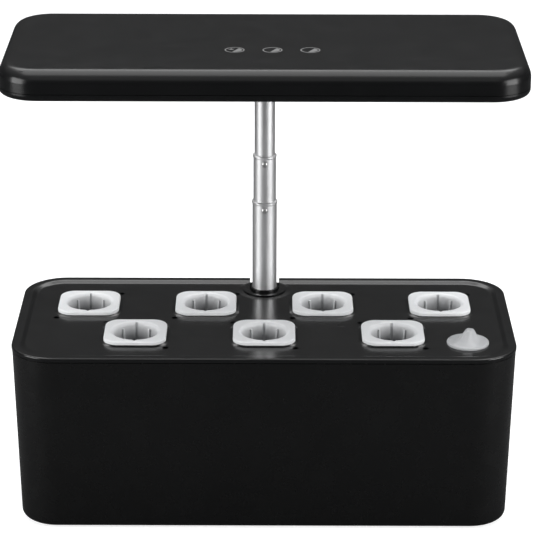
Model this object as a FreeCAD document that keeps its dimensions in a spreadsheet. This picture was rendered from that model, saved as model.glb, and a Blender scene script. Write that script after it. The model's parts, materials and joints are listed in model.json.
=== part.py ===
"""Countertop hydroponic garden: a water tank with a deck of seven grow baskets and a lamp on a pole.

Frame: origin under the middle of the tank, on the surface that the feet stand on. +X runs along the
long side, +Y towards the pole at the back, +Z up. All sizes are in millimetres and degrees.
"""
import FreeCAD, Part
import math
import os

import Sketcher
from FreeCAD import Placement, Rotation, Vector

doc = FreeCAD.newDocument("hydroponic_garden")
sheet = doc.addObject("Spreadsheet::Sheet", "Sizes")

# Driving sizes: name, value, what it is
DRIVING_SIZES = [
    ("rim_length", 322.0, "deck rim, left to right"),
    ("rim_depth", 146.5, "deck rim, front to back"),
    ("rim_corner", 27.8, "radius of the deck rim's corners, seen from above"),
    ("rim_skirt", 2.8, "height of the deck rim's outer edge"),
    ("rim_flat", 5.5, "flat top of the rim, with its outer edge"),
    ("rim_slope", 3.2, "width of the slope from the rim down to the deck face"),
    ("rim_edge_round", 1.0, "rounding of the rim's outer top edge"),
    ("rim_slope_round", 3.0, "rounding at the top and foot of that slope"),
    ("rim_overhang", 0.35, "how far the rim stands out past the tank"),
    ("deck_sink", 1.5, "depth of the deck face below the rim"),
    ("deck_plate", 2.4, "thickness of the deck face"),
    ("lip_depth", 9.0, "depth of the lip inside the tank wall"),
    ("lip_wall", 2.0, "wall of that lip"),
    ("lip_gap", 0.5, "clearance between the lip and the tank wall"),
    ("parting_gap", 0.6, "shadow gap between the tank and the rim"),
    ("parting_inset", 1.0, "width of that gap, up to the face that rests on the tank"),
    ("tank_height", 115.6, "tank, from its underside to its top edge"),
    ("tank_draft", 1.6, "draft angle of the tank walls"),
    ("tank_wall", 2.4, "tank wall"),
    ("tank_floor", 2.6, "tank floor"),
    ("tank_edge_round", 4.5, "rounding of the tank's bottom edge"),
    ("tank_inside_round", 3.0, "rounding between the tank's floor and walls"),
    ("foot_proud", 1.2, "how far the feet stand out of the tank's underside"),
    ("foot_sunk", 0.9, "depth of the recesses that hold the feet"),
    ("foot_radius", 8.0, "radius of each foot"),
    ("foot_gap", 0.1, "clearance round each foot in its recess"),
    ("foot_inset_x", 36.0, "foot centre from the end of the tank's underside"),
    ("foot_inset_y", 24.0, "foot centre from the long side of the underside"),
    ("foot_edge_round", 0.5, "rounding of each foot's lower edge"),
    ("back_row_end", 45.05, "outer baskets of the back row, from the rim's ends"),
    ("back_row_inset", 49.85, "back row from the rim's back edge"),
    ("front_row_end", 78.2, "outer baskets of the front row, from the rim's ends"),
    ("front_row_inset", 44.45, "front row from the rim's front edge"),
    ("pad_side", 44.0, "side of the raised pad under each basket, at its foot"),
    ("pad_corner", 11.5, "corner radius of that pad"),
    ("pad_rise", 0.8, "height of that pad above the deck face"),
    ("pad_slope", 68.0, "slope of the pad's edge from upright"),
    ("flange_side", 40.0, "side of a basket's square flange"),
    ("flange_corner", 9.5, "corner radius of the flange"),
    ("flange_thick", 2.3, "thickness of the flange"),
    ("flange_round", 1.0, "rounding of the flange's top edge"),
    ("cup_radius", 16.2, "basket cup's outer radius under the flange"),
    ("cup_draft", 4.0, "draft angle of the cup"),
    ("cup_depth", 50.0, "basket cup below its flange"),
    ("cup_wall", 1.9, "wall of the cup"),
    ("cup_floor", 1.8, "floor of the cup"),
    ("mouth_round", 1.1, "rounding of the basket's mouth"),
    ("notch_width", 4.2, "width of the keyway's open side, inside the cup"),
    ("notch_depth", 1.3, "how far the keyway's point lies past the mouth's rounding"),
    ("rib_width", 1.4, "width of the ribs inside the cup"),
    ("rib_depth", 1.0, "how far those ribs stand in"),
    ("root_slot_width", 3.4, "width of the slots that let the roots out"),
    ("root_slot_height", 22.0, "height of those slots"),
    ("root_slot_lift", 4.0, "from the cup's underside to the slots"),
    ("drain_radius", 6.5, "radius of the hole in the cup's floor"),
    ("cup_gap", 0.5, "clearance of a cup in the deck"),
    ("collar_wall", 1.8, "wall of the collars under the deck"),
    ("collar_depth", 6.0, "how far those collars reach down"),
    ("vent_radius", 2.0, "radius of the small vent holes"),
    ("vent_x", 20.1, "vent hole from its basket's centre, sideways"),
    ("vent_y", 22.0, "vent hole from its basket's centre, front to back"),
    ("port_end", 30.7, "filling port, from the rim's right end"),
    ("port_inset", 31.85, "filling port, from the rim's front edge"),
    ("port_radius", 11.0, "radius of the filling port"),
    ("plug_radius", 13.5, "radius of the plug's disc"),
    ("plug_thick", 2.6, "thickness of that disc"),
    ("plug_round", 1.2, "rounding of the disc's edge"),
    ("plug_gap", 0.6, "clearance of the plug's stem in the port"),
    ("plug_stem", 9.0, "length of the plug's stem"),
    ("plug_wall", 1.6, "wall of the hollow stem"),
    ("plug_turn", -18.0, "how far the plug's grip is turned"),
    ("grip_height", 8.6, "height of the grip above the disc"),
    ("grip_top", 4.2, "width of the grip's crest"),
    ("grip_base", 15.0, "width of the grip at the disc"),
    ("seal_section", 1.4, "thickness of the plug's sealing ring"),
    ("seal_proud", 0.3, "how far that ring stands out of the stem"),
    ("float_side", 32.6, "level float, left of the front row's right basket"),
    ("float_back", 16.9, "level float, behind the front row"),
    ("slot_length", 5.3, "length of the slot for the float's flag"),
    ("slot_width", 1.5, "width of that slot"),
    ("flag_gap", 0.3, "clearance of the flag in its slot"),
    ("float_travel", 12.0, "how far the float can rise"),
    ("float_radius", 9.0, "radius of the float"),
    ("float_height", 14.0, "height of the float"),
    ("cage_gap", 0.6, "clearance of the float in its cage"),
    ("cage_wall", 1.5, "wall of the float's cage"),
    ("boss_radius", 14.5, "outer radius of the horseshoe boss round the pole"),
    ("boss_flare", 3.6, "how far the foot of that boss flares out"),
    ("boss_gap", 0.45, "clearance between the boss and the pole socket"),
    ("pole_inset", 20.25, "pole, from the rim's back edge"),
    ("socket_radius", 9.35, "outer radius of the pole socket"),
    ("socket_proud", 1.6, "how far the socket stands above the rim"),
    ("socket_flange", 13.8, "radius of the socket's foot"),
    ("socket_flange_thick", 3.0, "thickness of the socket's foot"),
    ("socket_seat", 50.0, "from the tank floor to where the lower tube stands"),
    ("socket_bore", 5.5, "radius of the cable space below the lower tube"),
    ("floor_boss", 5.0, "height of the boss on the tank floor under the socket"),
    ("gasket_thick", 1.0, "thickness of the gasket under the socket"),
    ("lower_radius", 8.15, "outer radius of the lower tube"),
    ("middle_radius", 7.52, "outer radius of the middle tube"),
    ("upper_radius", 6.75, "outer radius of the upper tube"),
    ("upper_wall", 0.6, "wall of the upper tube"),
    ("tube_gap", 0.08, "running clearance of a tube in the one below"),
    ("seat_gap", 0.06, "clearance of the lower tube in its socket"),
    ("lower_top", 63.0, "top of the lower tube above the deck rim"),
    ("middle_rise", 32.1, "how far the middle tube stands out of the lower one"),
    ("middle_length", 115.0, "length of the middle tube"),
    ("upper_overlap", 36.0, "length of the upper tube inside the middle one"),
    ("band_height", 2.2, "height of the rolled band at a tube's top"),
    ("band_proud", 0.35, "how far that band stands out"),
    ("bush_height", 8.0, "height of the guide bush on a tube's lower end"),
    ("bush_wall", 0.9, "wall of that bush inside the tube"),
    ("detent_radius", 1.9, "radius of the detent pad in a tube's wall"),
    ("detent_proud", 0.55, "how far a detent pad stands out of its tube"),
    ("detent_drop", 5.4, "detent pad's centre below the band's top"),
    ("lamp_length", 326.0, "lamp head, left to right"),
    ("lamp_depth", 147.5, "lamp head, front to back"),
    ("lamp_back", 20.75, "from the pole to the lamp head's back edge"),
    ("lamp_corner", 25.0, "radius of the lamp head's corners, seen from above"),
    ("lamp_thick", 19.1, "thickness of the lamp head"),
    ("lamp_clear", 167.2, "from the deck rim to the lamp's underside"),
    ("lamp_shoulder", 8.0, "rounding of the lamp's top edge"),
    ("lamp_wall", 2.2, "wall of the lamp's top cover"),
    ("lamp_split", 4.6, "height of the lamp's lower cover"),
    ("lamp_gap", 0.3, "shadow gap between the lamp's covers"),
    ("lamp_foot_round", 3.4, "rounding of the lamp's bottom edge"),
    ("lamp_screw_end", 17.0, "lamp's outer screws, from its ends"),
    ("lamp_screw_edge", 8.0, "lamp's screws, from its long edges"),
    ("window_end", 17.0, "from the lamp's ends to its window"),
    ("window_front", 10.75, "from the lamp's front edge to its window"),
    ("window_corner", 12.0, "corner radius of the window"),
    ("window_ledge", 3.0, "width of the ledge that holds the window"),
    ("window_thick", 1.5, "thickness of the window"),
    ("board_thick", 1.6, "thickness of the circuit boards"),
    ("led_side", 3.0, "side of each light-emitting diode"),
    ("led_thick", 0.8, "height of each light-emitting diode"),
    ("led_pitch_x", 17.5, "spacing of the diodes along the lamp"),
    ("led_pitch_y", 17.5, "spacing of the diodes across the lamp"),
    ("touch_pitch", 23.5, "spacing of the three touch buttons"),
    ("touch_x", 4.8, "middle touch button from the middle of the lamp"),
    ("touch_y", -22.0, "touch buttons from the middle of the lamp"),
    ("touch_radius", 5.2, "radius of each touch spring"),
    ("control_length", 74.0, "control board, left to right"),
    ("control_depth", 30.0, "control board, front to back"),
    ("control_corner", 2.0, "corner radius of the control board"),
    ("control_drop", 4.0, "control board below the top cover"),
    ("clamp_radius", 11.5, "outer radius of the clamp that holds the upper tube"),
    ("clamp_proud", 7.0, "how far the clamp stands below the lamp"),
    ("clamp_flange", 17.0, "radius of the clamp's flange inside the lamp"),
    ("clamp_flange_thick", 2.4, "thickness of that flange"),
    ("inlet_side_step", 36.0, "power inlet, right of the pole"),
    ("inlet_radius", 2.8, "radius of the power inlet's opening"),
    ("inlet_side", 7.4, "side of the power inlet's block"),
    ("inlet_setback", 0.8, "gap from the cover's wall to the inlet's block"),
    ("inlet_length", 13.0, "length of the power inlet's block"),
    ("inlet_rim", 0.4, "wall of the power inlet's socket"),
    ("inlet_corner", 1.0, "corner radius of the inlet's block"),
    ("inlet_pin", 1.0, "radius of the power inlet's centre pin"),
    ("screw_radius", 1.4, "radius of the small screws' shanks"),
    ("screw_head", 2.0, "radius of the small screws' heads"),
    ("screw_head_thick", 1.5, "height of the small screws' heads"),
    ("screw_length", 7.0, "length of the small screws' shanks"),
    ("pump_end", 44.0, "pump, from the rim's left end"),
    ("pump_inset", 77.25, "pump, from the rim's back edge"),
    ("pump_length", 44.0, "pump body, left to right"),
    ("pump_depth", 30.0, "pump body, front to back"),
    ("pump_height", 38.0, "pump body's height"),
    ("pump_round", 5.0, "rounding of the pump body's corners"),
    ("pump_cavity", 14.0, "radius of the pump's impeller chamber"),
    ("pump_cavity_depth", 11.0, "depth of the impeller chamber"),
    ("impeller_radius", 12.0, "radius of the impeller"),
    ("impeller_width", 7.0, "width of the impeller's blades"),
    ("blade_thick", 1.2, "thickness of an impeller blade"),
    ("pump_pin", 1.5, "radius of the impeller's pin"),
    ("pin_gap", 0.06, "running clearance of the impeller on its pin"),
    ("grille_thick", 2.4, "thickness of the pump's inlet grille"),
    ("cup_foot_radius", 5.5, "radius of the pump's suction feet"),
    ("cup_foot_height", 5.0, "height of the pump's suction feet"),
    ("spout_radius", 4.5, "outer radius of the pump's outlet spout"),
    ("spout_height", 12.0, "height of the outlet spout"),
    ("spout_wall", 1.3, "wall of the outlet spout"),
    ("lead_radius", 1.8, "radius of the pump's lead"),
    ("lead_drop", 12.0, "where the lead enters the pole socket, below the lower tube"),
]
for row, (alias, number, note) in enumerate(DRIVING_SIZES, start=1):
    sheet.set("A%d" % row, note)
    sheet.set("B%d" % row, str(number))
    sheet.setAlias("B%d" % row, alias)

BACK_ROW = 4
FRONT_ROW = 3
ROOT_SLOTS = 8
IMPELLER_BLADES = 6

probe = doc.addObject("App::FeaturePython", "Probe")
probe.addProperty("App::PropertyFloat", "Reading")
doc.recompute()


def size(formula):
    """Return the number that a formula on the sheet gives."""
    probe.setExpression("Reading", formula)
    probe.recompute()
    return probe.Reading


# Heights and widths that several pieces share, as formulas on the sheet
TANK_TOP = "(Sizes.foot_proud + Sizes.tank_height)"
FLOOR_TOP = "(Sizes.foot_proud + Sizes.tank_floor)"
SKIRT_FOOT = "(%s + Sizes.parting_gap)" % TANK_TOP
RIM_TOP = "(%s + Sizes.rim_skirt)" % SKIRT_FOOT
DECK_FACE = "(%s - Sizes.deck_sink)" % RIM_TOP
DECK_UNDER = "(%s - Sizes.deck_plate)" % DECK_FACE
PAD_TOP = "(%s + Sizes.pad_rise)" % DECK_FACE
HALF_LENGTH = "(0.5 * Sizes.rim_length)"
HALF_DEPTH = "(0.5 * Sizes.rim_depth)"
POLE_Y = "(%s - Sizes.pole_inset)" % HALF_DEPTH
PORT_X = "(%s - Sizes.port_end)" % HALF_LENGTH
PORT_Y = "(Sizes.port_inset - %s)" % HALF_DEPTH
FLOAT_X = "(%s - Sizes.front_row_end - Sizes.float_side)" % HALF_LENGTH
FLOAT_Y = "(Sizes.front_row_inset + Sizes.float_back - %s)" % HALF_DEPTH
PUMP_X = "(Sizes.pump_end - %s)" % HALF_LENGTH
PUMP_Y = "(%s - Sizes.pump_inset)" % HALF_DEPTH
TANK_LENGTH = "(Sizes.rim_length - 2 * Sizes.rim_overhang)"
TANK_DEPTH = "(Sizes.rim_depth - 2 * Sizes.rim_overhang)"
TANK_CORNER = "(Sizes.rim_corner - Sizes.rim_overhang)"
TANK_SHRINK = "(Sizes.tank_height * tan(Sizes.tank_draft))"
UNDER_LENGTH = "(%s - 2 * %s)" % (TANK_LENGTH, TANK_SHRINK)
UNDER_DEPTH = "(%s - 2 * %s)" % (TANK_DEPTH, TANK_SHRINK)
LIP_INSET = "(Sizes.rim_overhang + Sizes.tank_wall + Sizes.lip_gap)"
LOWER_TOP = "(%s + Sizes.lower_top)" % RIM_TOP
MIDDLE_TOP = "(%s + Sizes.middle_rise)" % LOWER_TOP
MIDDLE_FOOT = "(%s - Sizes.middle_length)" % MIDDLE_TOP
UPPER_FOOT = "(%s - Sizes.upper_overlap)" % MIDDLE_TOP
LOWER_BORE = "(Sizes.middle_radius + Sizes.tube_gap)"
MIDDLE_BORE = "(Sizes.upper_radius + Sizes.tube_gap)"
UPPER_BORE = "(Sizes.upper_radius - Sizes.upper_wall)"
LAMP_POLE = "(0.5 * Sizes.lamp_depth - Sizes.lamp_back)"
LAMP_Y = "(%s - %s)" % (POLE_Y, LAMP_POLE)
LAMP_FOOT = "(%s + Sizes.lamp_clear)" % RIM_TOP
LAMP_TOP = "(%s + Sizes.lamp_thick)" % LAMP_FOOT
LAMP_SPLIT = "(%s + Sizes.lamp_split)" % LAMP_FOOT
CEILING = "(%s - Sizes.lamp_wall)" % LAMP_TOP


def body(name):
    """Start a sub-part that is built from sketches."""
    item = doc.addObject("PartDesign::Body", name)
    item.Label = name
    return item


def sketch(item, name, plane="XY_Plane", offset="0"):
    """Attach a new sketch to one of the body's own origin planes, at a distance along its normal."""
    support = next(part for part in item.Origin.OriginFeatures if part.Role == plane)
    made = item.newObject("Sketcher::SketchObject", name)
    made.AttachmentSupport = [(support, "")]
    made.MapMode = "FlatFace"
    if offset != "0":
        made.setExpression("AttachmentOffset.Base.z", offset)
    return made


def hold(made, kind, *where):
    """Add a constraint with no size."""
    made.addConstraint(Sketcher.Constraint(kind, *where))


def bind(made, kind, formula, *where):
    """Add a constraint whose size is a formula on the sheet."""
    index = made.addConstraint(Sketcher.Constraint(kind, *where, size(formula)))
    made.setExpression("Constraints[%d]" % index, formula)


def pin_point(made, geometry, end, x, y):
    """Hold a point at a place given by two formulas."""
    if x == "0":
        hold(made, "PointOnObject", geometry, end, -2)
    else:
        bind(made, "DistanceX", x, -1, 1, geometry, end)
    if y == "0":
        hold(made, "PointOnObject", geometry, end, -1)
    else:
        bind(made, "DistanceY", y, -1, 1, geometry, end)


def circle(made, radius, x="0", y="0"):
    """Draw a circle."""
    centre = Vector(size(x), size(y), 0)
    index = made.addGeometry(Part.Circle(centre, Vector(0, 0, 1), size(radius)), False)
    bind(made, "Radius", radius, index)
    pin_point(made, index, 3, x, y)


def outline(made, points):
    """Draw a closed outline of straight lines through points given as pairs of formulas."""
    places = [Vector(size(x), size(y), 0) for x, y in points]
    lines = []
    for start, end in zip(places, places[1:] + places[:1]):
        lines.append(made.addGeometry(Part.LineSegment(start, end), False))
    for this, following in zip(lines, lines[1:] + lines[:1]):
        hold(made, "Coincident", this, 2, following, 1)
    for line, (x, y) in zip(lines, points):
        pin_point(made, line, 1, x, y)


def rounded_rectangle(made, length, depth, corner, x="0", y="0"):
    """Draw a rectangle with four round corners."""
    half_x, half_y, radius = size(length) / 2, size(depth) / 2, size(corner)
    middle = Vector(size(x), size(y), 0)
    sides, corners = [], []
    for quarter in range(4):
        turn = Rotation(Vector(0, 0, 1), 90 * quarter)
        reach, rise = (half_x, half_y) if quarter % 2 == 0 else (half_y, half_x)
        start = middle + turn.multVec(Vector(reach, radius - rise, 0))
        end = middle + turn.multVec(Vector(reach, rise - radius, 0))
        centre = middle + turn.multVec(Vector(reach - radius, rise - radius, 0))
        sides.append(made.addGeometry(Part.LineSegment(start, end), False))
        bow = Part.Circle(centre, Vector(0, 0, 1), radius)
        first = math.radians(90 * quarter)
        corners.append(made.addGeometry(Part.ArcOfCircle(bow, first, first + math.pi / 2), False))
    for quarter in range(4):
        hold(made, "Tangent", sides[quarter], 2, corners[quarter], 1)
        hold(made, "Tangent", corners[quarter], 2, sides[(quarter + 1) % 4], 1)
        hold(made, "Vertical" if quarter % 2 == 0 else "Horizontal", sides[quarter])
        if quarter:
            hold(made, "Equal", corners[0], corners[quarter])
    bind(made, "Radius", corner, corners[0])
    bind(made, "DistanceX", length, sides[2], 1, sides[0], 2)
    bind(made, "DistanceY", depth, sides[3], 1, sides[1], 2)
    if x == "0" and y == "0":
        hold(made, "Symmetric", sides[0], 1, sides[2], 1, -1, 1)
    else:
        dot = made.addGeometry(Part.Point(middle), True)
        pin_point(made, dot, 1, x, y)
        hold(made, "Symmetric", sides[0], 1, sides[2], 1, dot, 1)


def settle(feature):
    """Recompute, and stop at once if the feature has failed."""
    doc.recompute()
    if "Invalid" in feature.State or feature.Shape.isNull():
        raise ValueError("%s: %s" % (feature.Name, feature.getStatusString()))


def extrude(kind, item, made, length, taper, flip, both):
    feature = item.newObject("PartDesign::" + kind, made.Name + kind)
    feature.Profile = made
    feature.setExpression("Length", length)
    feature.Reversed = flip
    feature.Midplane = both
    if taper:
        feature.setExpression("TaperAngle", taper)
    settle(feature)
    return feature


def pad(item, made, length, taper=None, flip=False, both=False):
    """Add the sketch's outline, raised along its normal."""
    return extrude("Pad", item, made, length, taper, flip, both)


def pocket(item, made, length, taper=None, flip=False, both=False):
    """Cut the sketch's outline, against its normal, and make sure that it cut something."""
    before = item.Tip.Shape.Volume
    feature = extrude("Pocket", item, made, length, taper, flip, both)
    if feature.Shape.Volume >= before:
        raise ValueError("%s cuts nothing" % feature.Name)
    return feature


def revolve(item, made, kind="Revolution"):
    """Turn the sketch's outline once round its upright axis."""
    feature = item.newObject("PartDesign::" + kind, made.Name + kind)
    feature.Profile = made
    feature.ReferenceAxis = (made, ["V_Axis"])
    feature.Angle = 360
    settle(feature)
    return feature


def repeat(item, name, feature, axis, count):
    """Repeat a feature in equal steps round an axis of its sketch."""
    pattern = item.newObject("PartDesign::PolarPattern", name)
    pattern.Originals = [feature]
    pattern.Axis = axis
    pattern.Angle = 360
    pattern.Occurrences = count
    item.Tip = pattern
    settle(pattern)


def edges_at(shape, height, keep=lambda edge: True):
    """Name the edges that lie level at a height and pass a test."""
    names = []
    for number, edge in enumerate(shape.Edges, start=1):
        box = edge.BoundBox
        if abs(box.ZMin - height) < 0.01 and abs(box.ZMax - height) < 0.01 and keep(edge):
            names.append("Edge%d" % number)
    return names


def soften(item, name, radius, edges, kind="Fillet"):
    """Round or bevel the named edges of the body's last feature."""
    if not edges:
        raise ValueError("%s has no edges" % name)
    last = item.Tip
    feature = item.newObject("PartDesign::" + kind, name)
    feature.Base = (last, edges)
    feature.setExpression("Radius" if kind == "Fillet" else "Size", radius)
    settle(feature)
    return feature


def solid_feature(name, shapes):
    """Keep shapes made in code as one sub-part."""
    item = doc.addObject("Part::Feature", name)
    item.Label = name
    item.Shape = Part.makeCompound(shapes) if len(shapes) > 1 else shapes[0]
    return item


def basket_places():
    """List each basket's row and its centre as two formulas, back row first, left to right."""
    places = []
    for row, count, y in (("back", BACK_ROW, "(%s - Sizes.back_row_inset)" % HALF_DEPTH),
                          ("front", FRONT_ROW, "(Sizes.front_row_inset - %s)" % HALF_DEPTH)):
        for column in range(count):
            share = (2 * column - count + 1) / (count - 1)
            places.append((row, "(%s * (%s - Sizes.%s_row_end))" % (share, HALF_LENGTH, row), y))
    return places


BASKETS = basket_places()


def tank():
    item = body("tank")
    foot = sketch(item, "TankUnderside", offset="Sizes.foot_proud")
    rounded_rectangle(foot, UNDER_LENGTH, UNDER_DEPTH, "%s - %s" % (TANK_CORNER, TANK_SHRINK))
    pad(item, foot, "Sizes.tank_height", taper="Sizes.tank_draft")
    mouth = sketch(item, "TankMouth", offset=TANK_TOP)
    inset = "2 * Sizes.tank_wall"
    rounded_rectangle(mouth, "%s - %s" % (TANK_LENGTH, inset), "%s - %s" % (TANK_DEPTH, inset),
                      "%s - Sizes.tank_wall" % TANK_CORNER)
    pocket(item, mouth, "Sizes.tank_height - Sizes.tank_floor", taper="-Sizes.tank_draft")
    soften(item, "TankInsideEdge", "Sizes.tank_inside_round", edges_at(item.Tip.Shape, size(FLOOR_TOP)))
    soften(item, "TankBottomEdge", "Sizes.tank_edge_round",
           edges_at(item.Tip.Shape, size("Sizes.foot_proud")))
    seat = sketch(item, "SocketSeat", offset="Sizes.foot_proud + 0.5 * Sizes.tank_floor")
    circle(seat, "Sizes.socket_flange", y=POLE_Y)
    pad(item, seat, "0.5 * Sizes.tank_floor + Sizes.floor_boss")
    pilots = sketch(item, "SocketPilots", offset="%s + Sizes.floor_boss" % FLOOR_TOP)
    for x, y in SOCKET_SCREWS:
        circle(pilots, "Sizes.screw_radius", x, "%s + %s" % (POLE_Y, y))
    pocket(item, pilots, "Sizes.floor_boss + 0.4 * Sizes.tank_floor")
    recesses = sketch(item, "FootRecesses", offset="Sizes.foot_proud")
    for x, y in foot_places():
        circle(recesses, "Sizes.foot_radius + Sizes.foot_gap", x, y)
    pocket(item, recesses, "Sizes.foot_sunk", flip=True)
    return item


def foot_places():
    """List the centres of the four feet."""
    half_x = "(%s / 2 - Sizes.foot_inset_x)" % UNDER_LENGTH
    half_y = "(%s / 2 - Sizes.foot_inset_y)" % UNDER_DEPTH
    return [("%d * %s" % (side, half_x), "%d * %s" % (end, half_y)) for side in (-1, 1) for end in (-1, 1)]


SCREW_CIRCLE = "(0.5 * (Sizes.socket_radius + Sizes.socket_flange))"
SOCKET_SCREWS = [("%s * cos(%d)" % (SCREW_CIRCLE, angle), "%s * sin(%d)" % (SCREW_CIRCLE, angle))
                 for angle in (30, 150, 270)]


def rubber_feet():
    feet = []
    radius, round_off = size("Sizes.foot_radius"), size("Sizes.foot_edge_round")
    height = size("Sizes.foot_proud + Sizes.foot_sunk")
    for x, y in foot_places():
        foot = Part.makeCylinder(radius, height, Vector(size(x), size(y), 0))
        low = [edge for edge in foot.Edges if edge.BoundBox.ZMax < round_off]
        feet.append(foot.makeFillet(round_off, low))
    return solid_feature("rubber_feet", feet)


def deck():
    item = body("deck")
    rim = sketch(item, "RimOutline", offset=SKIRT_FOOT)
    rounded_rectangle(rim, "Sizes.rim_length", "Sizes.rim_depth", "Sizes.rim_corner")
    pad(item, rim, "Sizes.rim_skirt")
    soften(item, "RimOuterEdge", "Sizes.rim_edge_round", edges_at(item.Tip.Shape, size(RIM_TOP)))
    inner = ("Sizes.rim_length - 2 * %s" % LIP_INSET, "Sizes.rim_depth - 2 * %s" % LIP_INSET,
             "Sizes.rim_corner - %s" % LIP_INSET)
    seat = sketch(item, "RimSeat", offset=SKIRT_FOOT)
    step = "(Sizes.rim_overhang + Sizes.parting_inset)"
    rounded_rectangle(seat, "Sizes.rim_length - 2 * %s" % step, "Sizes.rim_depth - 2 * %s" % step,
                      "Sizes.rim_corner - %s" % step)
    pad(item, seat, "Sizes.parting_gap", flip=True)
    plate = sketch(item, "PlateOutline", offset=SKIRT_FOOT)
    rounded_rectangle(plate, *inner)
    pad(item, plate, "%s - %s" % (SKIRT_FOOT, DECK_UNDER), flip=True)
    lip = sketch(item, "LipOutline", offset=SKIRT_FOOT)
    rounded_rectangle(lip, *inner)
    rounded_rectangle(lip, *["%s - %s * Sizes.lip_wall" % (formula, share)
                             for formula, share in zip(inner, ("2", "2", "1"))])
    pad(item, lip, "Sizes.lip_depth", flip=True)
    well = sketch(item, "DeckWell", offset=RIM_TOP)
    rounded_rectangle(well, "Sizes.rim_length - 2 * Sizes.rim_flat", "Sizes.rim_depth - 2 * Sizes.rim_flat",
                      "Sizes.rim_corner - Sizes.rim_flat")
    pocket(item, well, "Sizes.deck_sink", taper="-atan(Sizes.rim_slope / Sizes.deck_sink)")
    inside = size("Sizes.rim_depth") / 2 - size("Sizes.rim_edge_round") - 0.5
    soften(item, "RimSlopeTop", "Sizes.rim_slope_round",
           edges_at(item.Tip.Shape, size(RIM_TOP), lambda edge: is_inside(edge, inside)))
    soften(item, "RimSlopeFoot", "Sizes.rim_slope_round", edges_at(item.Tip.Shape, size(DECK_FACE)))
    pads = sketch(item, "BasketPads", offset=DECK_FACE)
    for row, x, y in BASKETS:
        rounded_rectangle(pads, "Sizes.pad_side", "Sizes.pad_side", "Sizes.pad_corner", x, y)
    pad(item, pads, "Sizes.pad_rise", taper="-Sizes.pad_slope")
    collars = sketch(item, "BasketCollars", offset=DECK_UNDER)
    hole = "Sizes.cup_radius + Sizes.cup_gap"
    for row, x, y in BASKETS:
        circle(collars, "%s + Sizes.collar_wall" % hole, x, y)
    circle(collars, "Sizes.port_radius + Sizes.collar_wall", PORT_X, PORT_Y)
    pad(item, collars, "Sizes.collar_depth", flip=True)
    boss = sketch(item, "BossOutline", offset=DECK_FACE)
    circle(boss, "Sizes.boss_radius", y=POLE_Y)
    pad(item, boss, "Sizes.deck_sink")
    flare = sketch(item, "BossFlare", offset=DECK_FACE)
    circle(flare, "Sizes.boss_radius + Sizes.boss_flare", y=POLE_Y)
    pad(item, flare, "0.4 * Sizes.deck_sink", taper="-atan(Sizes.boss_flare / (0.4 * Sizes.deck_sink))")
    wall = sketch(item, "BossWall", offset=DECK_UNDER)
    circle(wall, "Sizes.boss_radius", y=POLE_Y)
    pad(item, wall, "Sizes.lip_depth + %s - %s" % (DECK_UNDER, SKIRT_FOOT), flip=True)
    holes = sketch(item, "BasketHoles", offset=RIM_TOP)
    for row, x, y in BASKETS:
        circle(holes, hole, x, y)
    circle(holes, "Sizes.port_radius", PORT_X, PORT_Y)
    for x, y in vent_places():
        circle(holes, "Sizes.vent_radius", x, y)
    rounded_rectangle(holes, "Sizes.slot_length", "Sizes.slot_width", "0.45 * Sizes.slot_width",
                      FLOAT_X, FLOAT_Y)
    circle(holes, "Sizes.socket_radius + Sizes.boss_gap", y=POLE_Y)
    pocket(item, holes, "2 * Sizes.rim_skirt + Sizes.lip_depth + Sizes.collar_depth")
    notch = sketch(item, "RearNotch", offset=RIM_TOP)
    side = "(Sizes.socket_radius + Sizes.boss_gap)"
    outline(notch, [("-%s" % side, POLE_Y), (side, POLE_Y),
                    (side, "Sizes.rim_depth"), ("-%s" % side, "Sizes.rim_depth")])
    pocket(item, notch, "2 * Sizes.rim_skirt + Sizes.lip_depth + Sizes.collar_depth")
    return item


def is_inside(edge, reach):
    """Tell whether an edge keeps within a distance of the middle, front to back."""
    return max(abs(edge.BoundBox.YMin), abs(edge.BoundBox.YMax)) < reach


def vent_places():
    """List the vent holes: back row at the back right and front left, front row mirrored."""
    places = []
    for row, x, y in BASKETS:
        side = "" if row == "back" else "-"
        places.append(("%s + %sSizes.vent_x" % (x, side), "%s + Sizes.vent_y" % y))
        side = "-" if row == "back" else ""
        places.append(("%s + %sSizes.vent_x" % (x, side), "%s - Sizes.vent_y" % y))
    return places


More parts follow.
